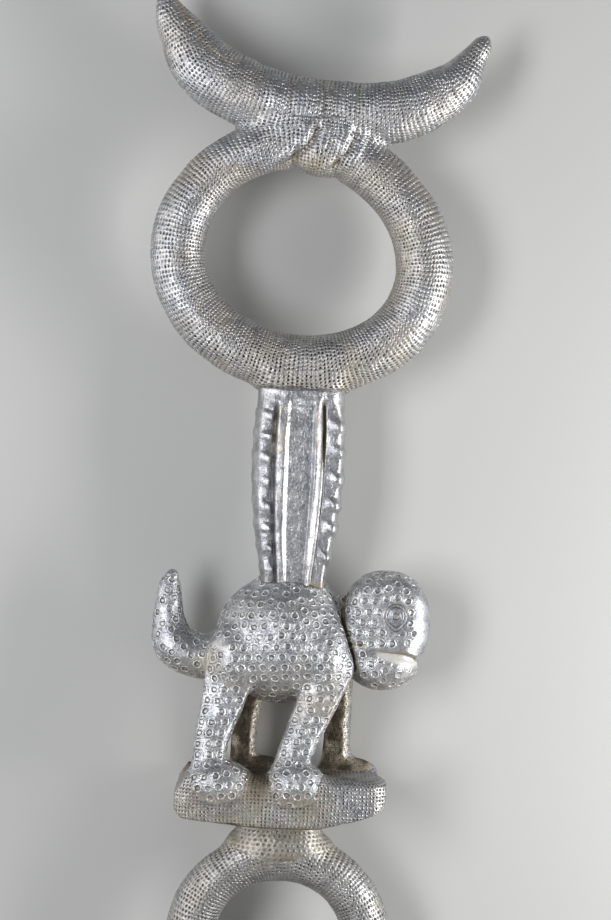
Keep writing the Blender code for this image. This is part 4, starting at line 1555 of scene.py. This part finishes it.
@dataclass
class Shaft(Piece):
    """The round shaft: a turned collar, a plain taper in overlapping sheets, and a foot knob.

    Attributes:
        top_radius, end_radius: the taper's radius at the collar and at the foot.
        foot_face: radius of the foot's flat face.
        sheet_length: how much of each sheet shows.
        dots_round, dot_pitch: dots in a ring round the shaft, and from dot to dot along it.
        seam: where the seam lies, in turns from the front.
    """

    top_station: float = -0.2303
    collar_top: float = -0.2463
    collar_bottom: float = -0.2643
    collar_radius: float = 0.0168
    top_radius: float = 0.0140
    end_radius: float = 0.0112
    foot_top: float = -1.32003
    end_station: float = -1.35403
    foot_radius: float = 0.0222
    foot_face: float = 0.012
    sheet_length: float = 0.181
    dots_round: int = 36
    dot_pitch: float = 0.0021
    seam: float = 0.15

    def form(self) -> Form:
        """The shaft's top as a formula, for the ring that runs into it."""
        return Limb(((0.0, self.top_station, 0.0, self.top_radius),
                     (0.0, self.collar_top, 0.0, self.top_radius)))

    def turn(self, name: str, profile: Array, seed: int, film: float) -> Object:
        """Makes a punched piece turned round the axis.

        Args:
            name: the object's name.
            profile: its outline: radius and station.
            seed: the first seed of its noises.
            film: how tarnished it is.

        Returns:
            The object.
        """
        punching = Punching(seed=seed)
        walked, rows = even_steps(profile, punching.row_pitch, False)
        wanted = row_lines(rows) / rows * walked[-1]
        radius, station = (np.interp(wanted, walked, profile[:, k]) for k in (0, 1))
        slope, drop = np.gradient(radius, wanted), np.gradient(station, wanted)[:, None]
        columns = 3 * round(2.0 * np.pi * profile[:, 0].max() / punching.dot_pitch)
        sine, cosine = circle(columns)
        row_radii = np.interp((np.arange(rows) + 0.5) / rows * walked[-1], walked, profile[:, 0])
        net = Net(rows_of(radius[:, None] * sine, station, radius[:, None] * cosine),
                  punching.courses(rows, row_radii, columns))
        outward = unit(rows_of(-drop * sine, slope, -drop * cosine))
        height, hit = punching.relief(net)
        height = height + Beating(seed=seed + 2).height(net.points)
        tarnish = film + 0.12 * smooth_noise(net.points, 0.007, seed + 2)
        net.points = net.points + outward * height[..., None]
        return self.clothe(net, hit, tarnish, name)

    def build_collar(self) -> Object:
        """Makes the collar: a bead whose swell is half a sine along its length."""
        share = np.linspace(0.0, 1.0, 200)
        inner = self.top_radius - 0.0006
        radius = inner + (self.collar_radius - inner) * np.sin(np.pi * share)
        station = self.collar_top + (self.collar_bottom - self.collar_top) * eased(share)
        return self.turn("collar", np.stack([radius, station], axis=-1), 121, 0.2)

    def build_foot(self) -> Object:
        """Makes the foot knob: half a sine of swell down to a flat face."""
        share = np.linspace(0.0, 1.0, 400)
        swell = np.where(share < 0.5, self.end_radius - 0.0004, self.foot_face)
        radius = swell + (self.foot_radius - swell) * np.sin(np.pi * share)
        station = self.foot_top + (self.end_station - self.foot_top) * eased(share)
        face = [[0.004, self.end_station], [0.001, self.end_station]]
        return self.turn("foot", np.vstack([np.stack([radius, station], axis=-1), face]), 131, 0.25)

    def build(self) -> Object:
        """Makes the long taper, a step in its radius where each sheet laps over the one below it."""
        joints = np.arange(self.collar_bottom - self.sheet_length, self.foot_top + 0.02, -self.sheet_length)
        near = np.array([0.0045, 0.003, 0.0018, 0.0009, 0.0003, 0.0, -0.00025, -0.0006, -0.0015])
        stations = np.concatenate([np.linspace(self.top_station, self.foot_top - 0.004, 330),
                                   (joints[:, None] + near).ravel()])
        stations = np.unique(np.round(stations, 6))[::-1]
        share = (stations - self.collar_top) / (self.foot_top - self.collar_top)
        radius = self.top_radius + (self.end_radius - self.top_radius) * np.clip(share, 0.0, 1.0)
        above = stations[:, None] - joints[None, :]
        lip = smoothstep(0.020, 0.004, above) * smoothstep(-0.0003, 0.0001, above)
        radius = radius + 0.00030 * lip.sum(-1)
        columns = 3 * self.dots_round
        turns = np.arange(columns) / columns
        sine, cosine = circle(columns)
        past = (turns - self.seam + 0.02) % 1.0
        overlap = 0.00022 * smoothstep(0.0, 0.07, past) * (past < 0.5)
        skin = np.broadcast_arrays(stations[:, None] / 3.0, sine * 0.014, cosine * 0.014)
        wobble = smooth_noise(np.stack(skin, axis=-1), 0.008, 141)
        full = radius[:, None] + overlap + 0.00016 * wobble
        marks = (stations[0] - stations) / self.dot_pitch
        dotted = np.floor((stations[0] - joints - 0.003) / self.dot_pitch)
        ring_row = np.abs(np.floor(marks)[:, None] - dotted).min(-1)[:, None] < 0.5
        seam_dot = np.abs(turns - self.seam) < 0.6 / self.dots_round
        rows = int(marks.max()) + 2
        courses = Courses(marks, np.append(turns, 1.0), np.full(rows, self.dots_round), np.zeros(rows))
        net = Net(rows_of(full * sine, stations, full * cosine), courses)
        tarnish = 0.16 + 0.35 * bell(np.abs(above).min(-1), 0.0, 0.002)[:, None]
        tarnish = tarnish + 0.14 * smooth_noise(net.points, 0.011, 143)
        return self.clothe(net, np.where(ring_row | seam_dot, 0.9, 0.0), tarnish)


def surface_net(form: Form, low: Array, high: Array,
                step: float) -> tuple[Array, Array]:
    """Nets a formula's skin in a lattice.

    The distance is read at every fourth place of the lattice and then at each place near the skin. A
    cell with the skin in it gets one point, the mean of where its edges cross the skin. Every edge
    that crosses the skin gives a four-sided face between the four cells round it.

    Args:
        form: the solid.
        low: lowest corner of the lattice.
        high: highest corner.
        step: its spacing.

    Returns:
        The points and the faces' corners, facing outward.
    """
    counts = (np.ceil((high - low) / step / 4.0).astype(int) + 1) * 4
    rough_counts = counts // 4
    rough = low + 4.0 * step * (np.indices(rough_counts).reshape(3, -1).T + 0.375)
    value, _ = form.reach(rough)
    value = value.reshape(rough_counts)
    for axis in range(3):
        value = np.repeat(value, 4, axis=axis)
    near = np.argwhere(np.abs(value) < 4.0 * step + 0.0008)
    exact, _ = form.reach(low + step * near)
    value[tuple(near.T)] = exact
    flat_step = np.array([counts[1] * counts[2], counts[2], 1])
    faces, crossings = [], []
    for axis in range(3):
        start, end = [slice(1, -1)] * 3, [slice(1, -1)] * 3
        end[axis] = slice(2, None)
        first, second = value[tuple(start)], value[tuple(end)]
        at = np.argwhere((first < 0) != (second < 0)) + 1
        here = value[tuple(at.T)]
        ahead = value[tuple((at + np.eye(3, dtype=int)[axis]).T)]
        place = at.astype(float)
        place[:, axis] += here / (here - ahead)
        base = at @ flat_step
        back, down = flat_step[(axis + 1) % 3], flat_step[(axis + 2) % 3]
        cells = np.stack([base, base - back, base - back - down, base - down], axis=-1)
        faces.append(np.where((here < 0)[:, None], cells, cells[:, ::-1]))
        crossings.append(place)
    faces = np.vstack(faces)
    crossings = np.repeat(np.vstack(crossings), 4, axis=0)
    _, owner = np.unique(faces.ravel(), return_inverse=True)
    total = np.bincount(owner)
    points = np.stack([np.bincount(owner, crossings[:, axis]) / total for axis in range(3)], axis=-1)
    return low + step * points, owner.reshape(-1, 4)


@dataclass(frozen=True)
class Carving(Form):
    """The animal: body and head melted together, with a notch cut at the mouth's corner."""

    body: tuple[Form, ...]
    head: tuple[Form, ...]
    cut: Form
    eyes: tuple[Form, ...]
    facets: tuple[Form, ...]

    def trunk(self) -> Form:
        """The body with its legs and its tail."""
        return Union(self.body, 0.0026)

    def masses(self) -> Form:
        """The head's round masses."""
        return Union(self.head, 0.0012)

    def skull(self) -> Form:
        """The head before its mouth is cut: its masses pared flat on the cheeks and the muzzle."""
        return Pared(self.masses(), self.facets, 0.0026)

    def reach(self, points: Array) -> Reach:
        """Melts the masses, then takes the greater of the head and the inside of the cut."""
        head = self.skull().reach(points)
        cut_distance, cut_outward = self.cut.reach(points)
        outside = -cut_distance > head[0]
        head = (np.maximum(head[0], -cut_distance), np.where(outside[..., None], -cut_outward, head[1]))
        for eye in self.eyes:
            head = melted(head, eye.reach(points), 0.0006)
        return melted(self.trunk().reach(points), head, 0.0004)


@dataclass
class Animal(Piece):
    """The four-legged animal: round head turned to the right, curled tail, punched all over with rings.

    Its masses, head, limbs, paws, mouth, facets and eye are given in shares of its height, from its
    top: middles and half sizes, or middles and radii along a limb, the tail first, then the near legs.

    Attributes:
        ridge_shift, ridge_turns, ridge_fall, ridge_depth: how far left of the leg's middle its ridge
            lies, which way the two faces beside it turn, how they fall away, and how far out it is.
        ring_spacing, fine_spacing: from one punch to the next, of the rings and of the fine dots.
        forces: how many punches have a force of their own before it repeats.
        toe_strokes: middle, top and bottom of each stroke between the toes, in mm.
        lattice, lattice_low, lattice_high: spacing and corners of the lattice that nets the skin.
    """

    height: float = 0.071
    top: float = -0.064
    masses: tuple[Mass, ...] = (
        ((-0.028, -0.317, 0.0), (0.343, 0.327, 0.280)),
        ((0.004, -0.115, 0.0), (0.230, 0.125, 0.185)),
        ((-0.262, -0.408, 0.127), (0.147, 0.176, 0.134)),
        ((-0.200, -0.430, -0.127), (0.145, 0.165, 0.120)),
        ((0.194, -0.394, 0.127), (0.122, 0.197, 0.134)),
        ((0.225, -0.390, -0.134), (0.098, 0.180, 0.120)),
        ((0.280, -0.245, 0.0), (0.110, 0.170, 0.080)),
    )
    head: tuple[Mass, ...] = (
        ((0.490, -0.209, 0.0), (0.226, 0.263, 0.200)),
        ((0.479, -0.415, 0.0), (0.186, 0.139, 0.170)),
    )
    limbs: tuple[tuple[Sphere, ...], ...] = (
        ((-0.280, -0.415, 0.0, 0.127), (-0.450, -0.420, 0.0, 0.118), (-0.568, -0.373, 0.0, 0.112),
         (-0.609, -0.268, 0.0, 0.087), (-0.616, -0.169, 0.0, 0.070), (-0.613, -0.070, 0.0, 0.055),
         (-0.603, -0.018, 0.0, 0.030)),
        ((-0.275, -0.437, 0.17, 0.127), (-0.314, -0.620, 0.18, 0.107), (-0.356, -0.789, 0.20, 0.089),
         (-0.373, -0.944, 0.235, 0.082), (-0.365, -1.03, 0.255, 0.090)),
        ((0.225, -0.437, 0.155, 0.110), (0.155, -0.620, 0.18, 0.101), (0.087, -0.789, 0.20, 0.090),
         (0.037, -0.944, 0.235, 0.086), (0.045, -1.03, 0.255, 0.090)),
        ((-0.183, -0.465, -0.17, 0.113), (-0.189, -0.676, -0.18, 0.073), (-0.206, -0.845, -0.19, 0.066),
         (-0.201, -1.021, -0.20, 0.073)),
        ((0.246, -0.465, -0.17, 0.099), (0.275, -0.676, -0.18, 0.070), (0.276, -0.845, -0.19, 0.070),
         (0.279, -1.021, -0.20, 0.085)),
    )
    paws: tuple[Mass, ...] = (
        ((-0.312, -1.020, 0.228), (0.160, 0.105, 0.128)),
        ((0.072, -1.016, 0.228), (0.142, 0.112, 0.128)),
        ((-0.127, -1.007, -0.197), (0.127, 0.056, 0.092)),
        ((0.338, -1.000, -0.183), (0.148, 0.063, 0.099)),
    )
    mouth_cut: Mass = ((0.698, -0.372, 0.0), (0.056, 0.028, 0.24))
    mouth_lean: float = math.radians(-8)
    facets: tuple[Plane, ...] = (
        ((0.52, -0.25, 0.158), (-0.05, 0.02, 1.0)),
        ((0.52, -0.25, -0.158), (-0.05, 0.02, -1.0)),
        ((0.643, -0.22, 0.158), (0.62, -0.09, 0.78)),
        ((0.643, -0.22, -0.158), (0.62, -0.09, -0.78)),
    )
    eye: Mass = ((0.534, -0.158, 0.148), (0.062, 0.068, 0.012))
    ridge_shift: float = 0.020
    ridge_turns: Pair = (math.radians(20), math.radians(-9))
    ridge_fall: float = 0.16
    ridge_depth: float = 0.257
    ring_spacing: float = 0.00375
    fine_spacing: float = 0.0017
    forces: int = 4000
    toe_strokes: tuple[Place, ...] = (
        (-32.6, -136.5, -141.5), (-30.2, -137, -142), (-17.0, -135.5, -140.5), (-14.6, -136, -141),
        (-12.6, -137, -141), (-2.6, -137.5, -142), (2.6, -138, -143), (5.6, -138, -143),
        (8.6, -137.5, -142.5))
    lattice: float = 0.00055
    lattice_low: Place = (-0.050, -0.1475, -0.0235)
    lattice_high: Place = (0.0530, -0.0600, 0.0268)

    def ball(self, centre: Place, half_sizes: Place) -> Ball:
        """An ellipsoid from shares of the animal's height."""
        x, y, z = (share * self.height for share in centre)
        return Ball((x, self.top + y, z), tuple(share * self.height for share in half_sizes))

    def limb(self, places: tuple[Sphere, ...]) -> Limb:
        """A limb from shares, read more finely along a smooth curve."""
        rows = spline(np.array(places), 4 * len(places) - 3) * self.height
        rows[:, 1] += self.top
        return Limb(tuple(tuple(row) for row in rows))

    def hewn(self, places: tuple[Sphere, ...]) -> Form:
        """A near leg, hewn to a ridge: a face that looks left beside a wider one that looks ahead."""
        root, foot = np.array(places[0]), np.array(places[-2])
        run = unit(foot[:2] - root[:2])
        left = np.array([run[1], -run[0], 0.0])
        front = unit(np.array([0.0, self.ridge_fall, 1.0]))
        middle = (root + foot)[:3] / 2.0
        middle[2] = self.ridge_depth
        place = self.ball(tuple(middle + self.ridge_shift * left), (1.0, 1.0, 1.0)).centre
        facets = tuple(Facet(place, tuple(math.sin(turn) * left + math.cos(turn) * front))
                       for turn in self.ridge_turns)
        return Pared(self.limb(places), facets, 0.0004)

    def form(self) -> Carving:
        """The whole animal as a formula."""
        body = [self.ball(*mass) for mass in self.masses]
        body += [self.limb(self.limbs[0])]
        body += [self.hewn(places) for places in self.limbs[1:3]]
        body += [self.limb(places) for places in self.limbs[3:]]
        paws = [self.ball(*paw) for paw in self.paws]
        body += [Slab(paw.centre, paw.half_sizes, 2.4, 2.3) for paw in paws[:2]]
        body += paws[2:]
        centre, half_sizes = self.eye
        far_eye = ((centre[0], centre[1], -centre[2]), half_sizes)
        facets = tuple(Facet(self.ball(place, place).centre, facing) for place, facing in self.facets)
        skull, jaw = (self.ball(*mass) for mass in self.head)
        head = (Slab(skull.centre, skull.half_sizes, 2.8, 2.25), jaw)
        return Carving(tuple(body), head,
                       replace(self.ball(*self.mouth_cut), lean=self.mouth_lean),
                       (self.ball(*self.eye), self.ball(*far_eye)), facets)

    def build(self, column: Form, plinth: Form) -> Object:
        """Makes the animal from a net of its whole skin."""
        own = self.form()
        points, faces = surface_net(own, np.array(self.lattice_low), np.array(self.lattice_high),
                                    self.lattice)
        points = laid_on(own, points)
        shown, outward = settle(points, own, Union((column, plinth), 0.0005), 0.0026, 0.0012)
        offset, ringed, fine = self.punches(points)
        away = np.linalg.norm(offset, axis=-1)
        near = ringed * smoothstep(0.0021, 0.0018, away)
        height = near * (0.00012 * bell(away, 0.00150, 0.00045) - 0.00028 * bell(away, 0.0, 0.00105))
        height -= fine * 0.00018 * bell(away, 0.0, 0.00035)
        height += Beating(0.00012, 0.00008, 151).height(points) + self.modelling(points)
        tarnish, bare = self.tarnish(points, outward)
        almond = self.almond(points) + 0.1 * (np.abs(points[:, 2]) < 0.006)
        values = {"punch": near * shown, "fine": fine * shown, "tarnish": tarnish, "bare": bare,
                  "almond": almond, "offset": offset}
        points = points + outward * height[:, None]
        starts = 4 * np.arange(len(faces))
        return self.dress(make_object(self.name, points, faces.ravel(), starts, values))

    def punches(self, points: Array) -> tuple[Array, Array, Array]:
        """Places the punches one by one, row by row, none nearer to another than the spacing.

        Points are taken in order of their form, then of their row along it, then of their place in the
        row; a point becomes a punch if it is still free, and frees none round it.

        Args:
            points: the skin.

        Returns:
            For each point the way to its nearest punch, how far it is ring-punched, and how far it has
            the fine dots of the far legs.
        """
        x, y, z = points.T
        ringed = 1.0 - self.muzzle(points) - self.far(points)
        almond = self.almond(points) + 0.02 * (np.abs(z) < 0.006)
        ringed = ringed * smoothstep(0.0052, 0.0058, almond)
        mouth_line = bell(y, self.mouth(x) + 0.0006, 0.0013) * smoothstep(0.028, 0.030, x)
        ringed = np.clip(ringed * (1.0 - 1.5 * np.maximum(mouth_line, self.lip(points))), 0.0, 1.0)
        fine = np.clip(self.far(points), 0.0, 1.0)
        part, walk, turn = self.walks(points)
        row = np.floor(walk / self.ring_spacing)
        order = np.lexsort((turn, row, part))
        offset = np.full_like(points, 0.1)
        best = np.full(len(points), 0.1)
        force = 0.75 + 0.35 * hashed(np.arange(self.forces)[:, None], 171)
        hit = np.ones(len(points))
        for spacing, chosen in ((self.ring_spacing, ringed > 0.6), (self.fine_spacing, fine > 0.6)):
            free = chosen.copy()
            candidates = order[chosen[order]]
            start = 0
            while start < len(candidates):
                ahead = free[candidates[start:]]
                if not ahead.any():
                    break
                start += int(np.argmax(ahead))
                middle = points[candidates[start]]
                away = points - middle
                length = np.sqrt((away ** 2).sum(-1))
                free &= length > spacing
                nearer = length < best
                best = np.where(nearer, length, best)
                offset[nearer] = away[nearer]
                hit[nearer] = force[start % self.forces]
        return offset, ringed * hit, fine

    def walks(self, points: Array) -> tuple[Array, Array, Array]:
        """For every point the part it lies on, how far along the part it is, and where in that row.

        Along the trunk and the head a row lies level and slopes with the back; along a limb it goes
        round the limb.
        """
        form = self.form()
        masses, limbs = len(self.masses), len(self.limbs)
        parts = [form.body[0], *form.body[masses:masses + limbs], form.masses()]
        part = np.stack([solid.reach(points)[0] for solid in parts]).argmin(0)
        walk = -points[:, 1] + 0.06 * points[:, 0]
        walk = np.where(part == 1, 0.4 * points[:, 1] - points[:, 0], walk)
        turn = np.where(points[:, 2] > 0, points[:, 0], 0.2 - points[:, 0])
        return part, walk + 1.0, turn

    def almond(self, points: Array) -> Array:
        """Distance from the eye's middle, made less towards the point at its lower end."""
        middle = self.ball(*self.eye).centre
        aside, rise = points[:, 0] - middle[0], points[:, 1] - middle[1]
        away = np.hypot(aside * 1.06, rise) + 0.00016 * smooth_noise(points, 0.0021, 172)
        down = np.clip((-rise + 0.12 * aside) / np.maximum(away, NUDGE), 0.0, 1.0)
        return away * (1.0 - 0.19 * down ** 7 * smoothstep(0.0014, 0.0040, away))

    def muzzle(self, points: Array) -> Array:
        """How far a point lies on the smooth strip that covers the muzzle."""
        x, y = points[:, 0], points[:, 1]
        edge = 0.0452 - 12.0 * (y + 0.0775) ** 2
        return smoothstep(-0.0006, 0.0006, x - edge) * between(y, (-0.090, -0.088), (-0.064, -0.067))

    def mouth(self, x: Array) -> Array:
        """The station of the mouth's line: it falls gently to the right, and more at its corner."""
        return -0.0883 - 0.08 * np.maximum(x - 0.0308, 0.0) - 0.0012 * smoothstep(0.041, 0.0465, x)

    def lip(self, points: Array) -> Array:
        """How far a point lies on the smooth lip under the mouth's line, whose pale cream also paints its
        highlight.
        """
        x, y = points[:, 0], points[:, 1]
        over = self.mouth(x)
        under = -0.0888 - 0.0013 * np.sqrt(np.maximum(x - 0.0308, 0.0) / 0.001)
        span = smoothstep(0.0303, 0.0330, x)
        soft = 0.0006 + 0.0008 * smoothstep(0.034, 0.044, x)
        below = smoothstep(over + 0.0003, over - 0.0003, y)
        return span * below * smoothstep(under - soft, under + soft, y)

    def cheek(self, points: Array) -> Array:
        """How far a point lies out from the head's middle plane."""
        return smoothstep(0.005, 0.008, np.abs(points[:, 2]))

    def far(self, points: Array) -> Array:
        """How far a point lies on the far legs."""
        return smoothstep(-0.004, -0.007, points[:, 2]) * smoothstep(-0.096, -0.101, points[:, 1])

    def modelling(self, points: Array) -> Array:
        """Height of the eye, the crease behind the head, the mouth with its lips and fold, and the toes."""
        x, y = points[:, 0], points[:, 1]
        away, side, over = self.almond(points), self.cheek(points), self.mouth(x)
        height = 0.00025 * (bell(away, 0.0, 0.0012) - bell(away, 0.0030, 0.0009)) * side
        height -= 0.00060 * self.crease(points)
        height -= 0.00080 * bell(y, over, 0.00060) * smoothstep(0.0290, 0.031, x)
        height += 0.00050 * bell(y, over + 0.0016, 0.0009) * smoothstep(0.029, 0.033, x)
        height -= 0.00040 * self.lip(points) + 0.00060 * self.fold(points) * side
        return height - 0.00050 * self.toes(points)

    def fold(self, points: Array) -> Array:
        """How near a point lies to the short fold behind the mouth."""
        x, y = points[:, 0], points[:, 1]
        line = -0.0860 - 0.08 * (x - 0.022) + 0.0003 * smooth_noise(points, 0.002, 173)
        return bell(y, line, 0.0005) * between(x, (0.021, 0.0225), (0.0285, 0.0255))

    def toes(self, points: Array) -> Array:
        """How near a point lies to the leaning strokes between the toes of the near paws."""
        x, y, z = points.T
        strokes, soft = np.zeros_like(x), 0.0005
        for middle, high, low in 0.001 * np.array(self.toe_strokes):
            lean = 0.3 * (y - 0.5 * (high + low))
            span = between(y, (low - soft, low + soft), (high + soft, high - soft))
            strokes += bell(x, middle + lean, 0.00050) * span
        return strokes * (z > 0.005)

    def crease(self, points: Array) -> Array:
        """How near a point lies to the line where the head meets the body."""
        form = self.form()
        width = 0.00085 + 0.00045 * smooth_noise(points, 0.0022, 174)
        body, head = (part.reach(points)[0] for part in (form.trunk(), form.skull()))
        return bell(body, 0.0, width) * bell(head, 0.0, width)

    def tarnish(self, points: Array, outward: Array) -> tuple[Array, Array]:
        """Brown under the belly and at the leg roots; brown film and painted shade between the legs, along
        the crease behind the head and under the upper lip; darker on downward faces round the belly, and
        along the fold and the toe strokes; painted shade on the far legs, their right-facing sides left
        bright as painted light; a bare mouth, its pale cream also painting its highlight.
        """
        x, y, z = points.T
        away = self.almond(points)
        root = bell(x, -0.0285, 0.006) * bell(y, -0.0945, 0.005)
        belly = bell(x, 0.012, 0.010) * bell(y, -0.108, 0.005)
        between_legs = bell(x, -0.008, 0.006) * smoothstep(-0.100, -0.107, y)
        lit = smoothstep(0.25, 0.65, outward[:, 0])
        shade = (0.82 + 0.45 * smooth_noise(points, 0.0045, 163)) * (1.0 - 0.85 * lit)
        eye = 0.35 * bell(away, 0.0044, 0.0004) + 0.6 * bell(away, 0.0, 0.0009)
        tarnish = 0.08 + 0.10 * smooth_noise(points, 0.006, 161) + 0.35 * (root + belly)
        # Between the near legs low down: brown film and painted shade.
        tarnish += 0.30 * between_legs + 0.45 * smoothstep(-0.136, -0.143, y)
        # Painted shade on the far legs, the faces turned right (lit) left bright as painted light.
        tarnish += shade * smoothstep(0.002, -0.004, z) * smoothstep(-0.094, -0.102, y)
        # Darker along the crease where head meets body: brown film and painted shade.
        tarnish += 3.00 * self.crease(points) * (0.70 + 0.60 * smooth_noise(points, 0.0020, 162))
        tarnish += eye * self.cheek(points)
        # Painted shadow, brownish, under the overhanging upper lip along the mouth's line.
        tarnish += 0.70 * bell(y, self.mouth(x) + 0.0003, 0.0006) * smoothstep(0.030, 0.033, x)
        tarnish += 0.22 * bell(y, self.mouth(x) + 0.0015, 0.0012) * smoothstep(0.036, 0.042, x)
        tarnish += 0.9 * self.fold(points) + 0.25 * self.toes(points)
        # Darker on faces turned down round the belly.
        tarnish += 0.25 * smoothstep(0.3, -0.5, outward[:, 1]) * bell(y, -0.104, 0.008)
        # The lip is bare of film and pale cream, a colour that also paints its highlight.
        bare = self.lip(points) * (0.84 + 0.2 * smooth_noise(points, 0.003, 175))
        return np.clip(tarnish * (1.0 - bare), 0.0, 1.0), bare


def pose(side: Array, up: Array, back: Array, place: Array) -> Matrix:
    """The matrix of an object whose X, Y and Z point along side, up and back; it looks against back."""
    rows = np.eye(4)
    rows[:3, :] = np.stack([side, up, back, StaffFrame().to_row(place)], axis=-1)
    return Matrix(rows.tolist())


@dataclass(frozen=True)
class Lamp:
    """A soft box: a rectangle of even light that faces a point of the staff's head.

    Attributes:
        place, aim: its middle and the point that it faces, in the staff's own frame.
        size: its width across and its height along the staff.
        power, hue: in watts, and its colour.
    """

    name: str
    place: Place
    aim: Place
    size: Pair
    power: float
    hue: str

    def hang(self) -> None:
        """Makes the light, its long side along the staff's Y."""
        light = bpy.data.lights.new(self.name, "AREA")
        light.shape = "RECTANGLE"
        light.size, light.size_y = self.size
        light.energy = self.power
        light.color = linear(self.hue)[:3]
        back = unit(np.array(self.place) - np.array(self.aim))
        side = unit(np.cross([0.0, 1.0, 0.0], back))
        obj = bpy.data.objects.new(self.name, light)
        obj.matrix_world = pose(side, np.cross(back, side), back, np.array(self.place))
        bpy.context.scene.collection.objects.link(obj)


@dataclass(frozen=True)
class View:
    """The camera: rolled with the staff's lean in the photograph, and looking in from a little above.

    Attributes:
        distance, target: from the point in the picture's middle, in the staff's own frame.
        field_height: how much of the staff's plane the picture's height takes in.
        slope: the lean, across over up.
        pitch: how far above level the camera stands, so that it sees the plinth's top.
        sensor: the sensor's height in millimetres.
    """

    distance: float = 0.9
    field_height: float = 0.3312
    slope: float = 0.047
    pitch: float = math.radians(3)
    target: Place = (0.00317, -0.02147, 0.0)
    sensor: float = 24.0

    def place(self) -> None:
        """Makes the camera and sets it as the scene's."""
        roll = math.atan(self.slope)
        side = np.array([math.cos(roll), math.sin(roll), 0.0])
        level = np.array([-math.sin(roll), math.cos(roll), 0.0])
        out = np.array([0.0, 0.0, 1.0])
        cosine, sine = math.cos(self.pitch), math.sin(self.pitch)
        back, up = cosine * out + sine * level, cosine * level - sine * out
        camera = bpy.data.cameras.new("camera")
        camera.sensor_fit = "VERTICAL"
        camera.sensor_height = self.sensor
        camera.lens = self.sensor * self.distance / self.field_height
        camera.clip_start = 0.01
        obj = bpy.data.objects.new("camera", camera)
        obj.matrix_world = pose(side, up, back, np.array(self.target) + back * self.distance)
        bpy.context.scene.collection.objects.link(obj)
        bpy.context.scene.camera = obj


@dataclass(frozen=True)
class Studio:
    """A pale floor, a dim even room, and soft boxes low on both sides, high on the left and at the foot.

    Attributes:
        floor, floor_half, floor_drop: its colour, half its width, and how far it lies under zero.
        room, room_level: colour and strength of the even light all round.
        lamps: the soft boxes.
    """

    floor: str = "C8C8C5"
    floor_half: float = 6.0
    floor_drop: float = 0.0005
    room: str = "8A8C90"
    room_level: float = 0.50
    lamps: tuple[Lamp, ...] = (
        Lamp("right_box", (0.42, -0.09, 0.18), (0.0, -0.02, 0.0), (0.10, 0.36), 2.2, "FFFFFF"),
        Lamp("left_box", (-0.46, 0.0, 0.70), (0.0, 0.0, 0.0), (0.26, 0.55), 3.9, "FAFBFF"),
        Lamp("side_box", (-0.50, 0.0, 0.11), (0.0, 0.0, 0.0), (0.14, 0.55), 0.9, "FFFFFF"),
        Lamp("low_box", (-0.10, -0.95, 0.50), (0.0, -0.1, 0.0), (0.9, 0.5), 0.95, "FFFDF8"),
    )

    def build(self) -> None:
        """Lays the floor, hangs the lights and tints the room."""
        self.lay_floor()
        for lamp in self.lamps:
            lamp.hang()
        world = bpy.data.worlds.new("room")
        world.use_nodes = True
        sky = world.node_tree.nodes["Background"]
        sky.inputs["Color"].default_value = linear(self.room)
        sky.inputs["Strength"].default_value = self.room_level
        bpy.context.scene.world = world
        bpy.context.scene.view_settings.view_transform = "Standard"

    def lay_floor(self) -> None:
        """Makes the floor of pale card: matt, so that the silver reflects it as a soft even tone."""
        half, drop = self.floor_half, -self.floor_drop
        mesh = bpy.data.meshes.new("floor")
        corners = [(-half, -half, drop), (half, -half, drop), (half, half, drop), (-half, half, drop)]
        mesh.from_pydata(corners, [], [(0, 1, 2, 3)])
        card = bpy.data.materials.new("pale_card")
        card.use_nodes = True
        shader = card.node_tree.nodes["Principled BSDF"]
        shader.inputs["Base Color"].default_value = linear(self.floor)
        shader.inputs["Roughness"].default_value = 0.9
        mesh.materials.append(card)
        floor = bpy.data.objects.new("floor", mesh)
        bpy.context.scene.collection.objects.link(floor)


# Thin sheet punched with rows of dots: the eye sees a soft grey sparkle with dark points in it.
DOTTED_SHEET = SilverSheet("punched_silver_sheet", Sheath.DOTTED)
# The same sheet where hands and weather reached it: greyer and browner, so the head stands out over it.
WEATHERED_SHEET = replace(DOTTED_SHEET, name="weathered_silver_sheet", bright="C2C2C4", dull="8C8E92",
                          film="9C917A")
# Unpunched sheet rubbed smooth: the brightest part, with long soft highlights and fine scratches.
PLAIN_SHEET = SilverSheet("burnished_silver_sheet", Sheath.PLAIN, bright="D2D2D4", dull="9A9CA1",
                          specks=0.2, roughness=0.43, denting=0.6)
# Sheet punched with small rings, each a dish with a groove darkened by soiling and painted shade, and a
# rim painted near white, partly rubbing and partly a painted highlight: it reads as the animal's curly
# coat.
RINGED_SHEET = SilverSheet("ring_punched_silver_sheet", Sheath.RINGED, bright="CFD0D3", dull="93969C",
                           specks=0.3, mark_darkness=0.50, roughness=0.47, denting=0.5, bite=0.00050)


def main() -> None:
    """Builds the staff's pieces in order, then the stage."""
    logging.basicConfig(level=logging.INFO, format="%(message)s")
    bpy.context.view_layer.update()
    ring = UpperRing("upper_ring", DOTTED_SHEET)
    crescent = Crescent("crescent", DOTTED_SHEET)
    column = Column("column", PLAIN_SHEET)
    animal = Animal("animal", RINGED_SHEET)
    plinth = Plinth("plinth", WEATHERED_SHEET)
    lower_ring = LowerRing("lower_ring", WEATHERED_SHEET)
    shaft = Shaft("shaft", DOTTED_SHEET)
    ring.build(crescent.form(), column.form())
    crescent.build(ring.form())
    column.build()
    animal.build(column.form(), plinth.form())
    plinth.build(animal.form(), lower_ring.neck())
    lower_ring.build(shaft.form())
    lower_ring.build_neck(plinth.form())
    shaft.build()
    shaft.build_collar()
    shaft.build_foot()
    Studio().build()
    View().place()


if __name__ == "__main__":
    main()
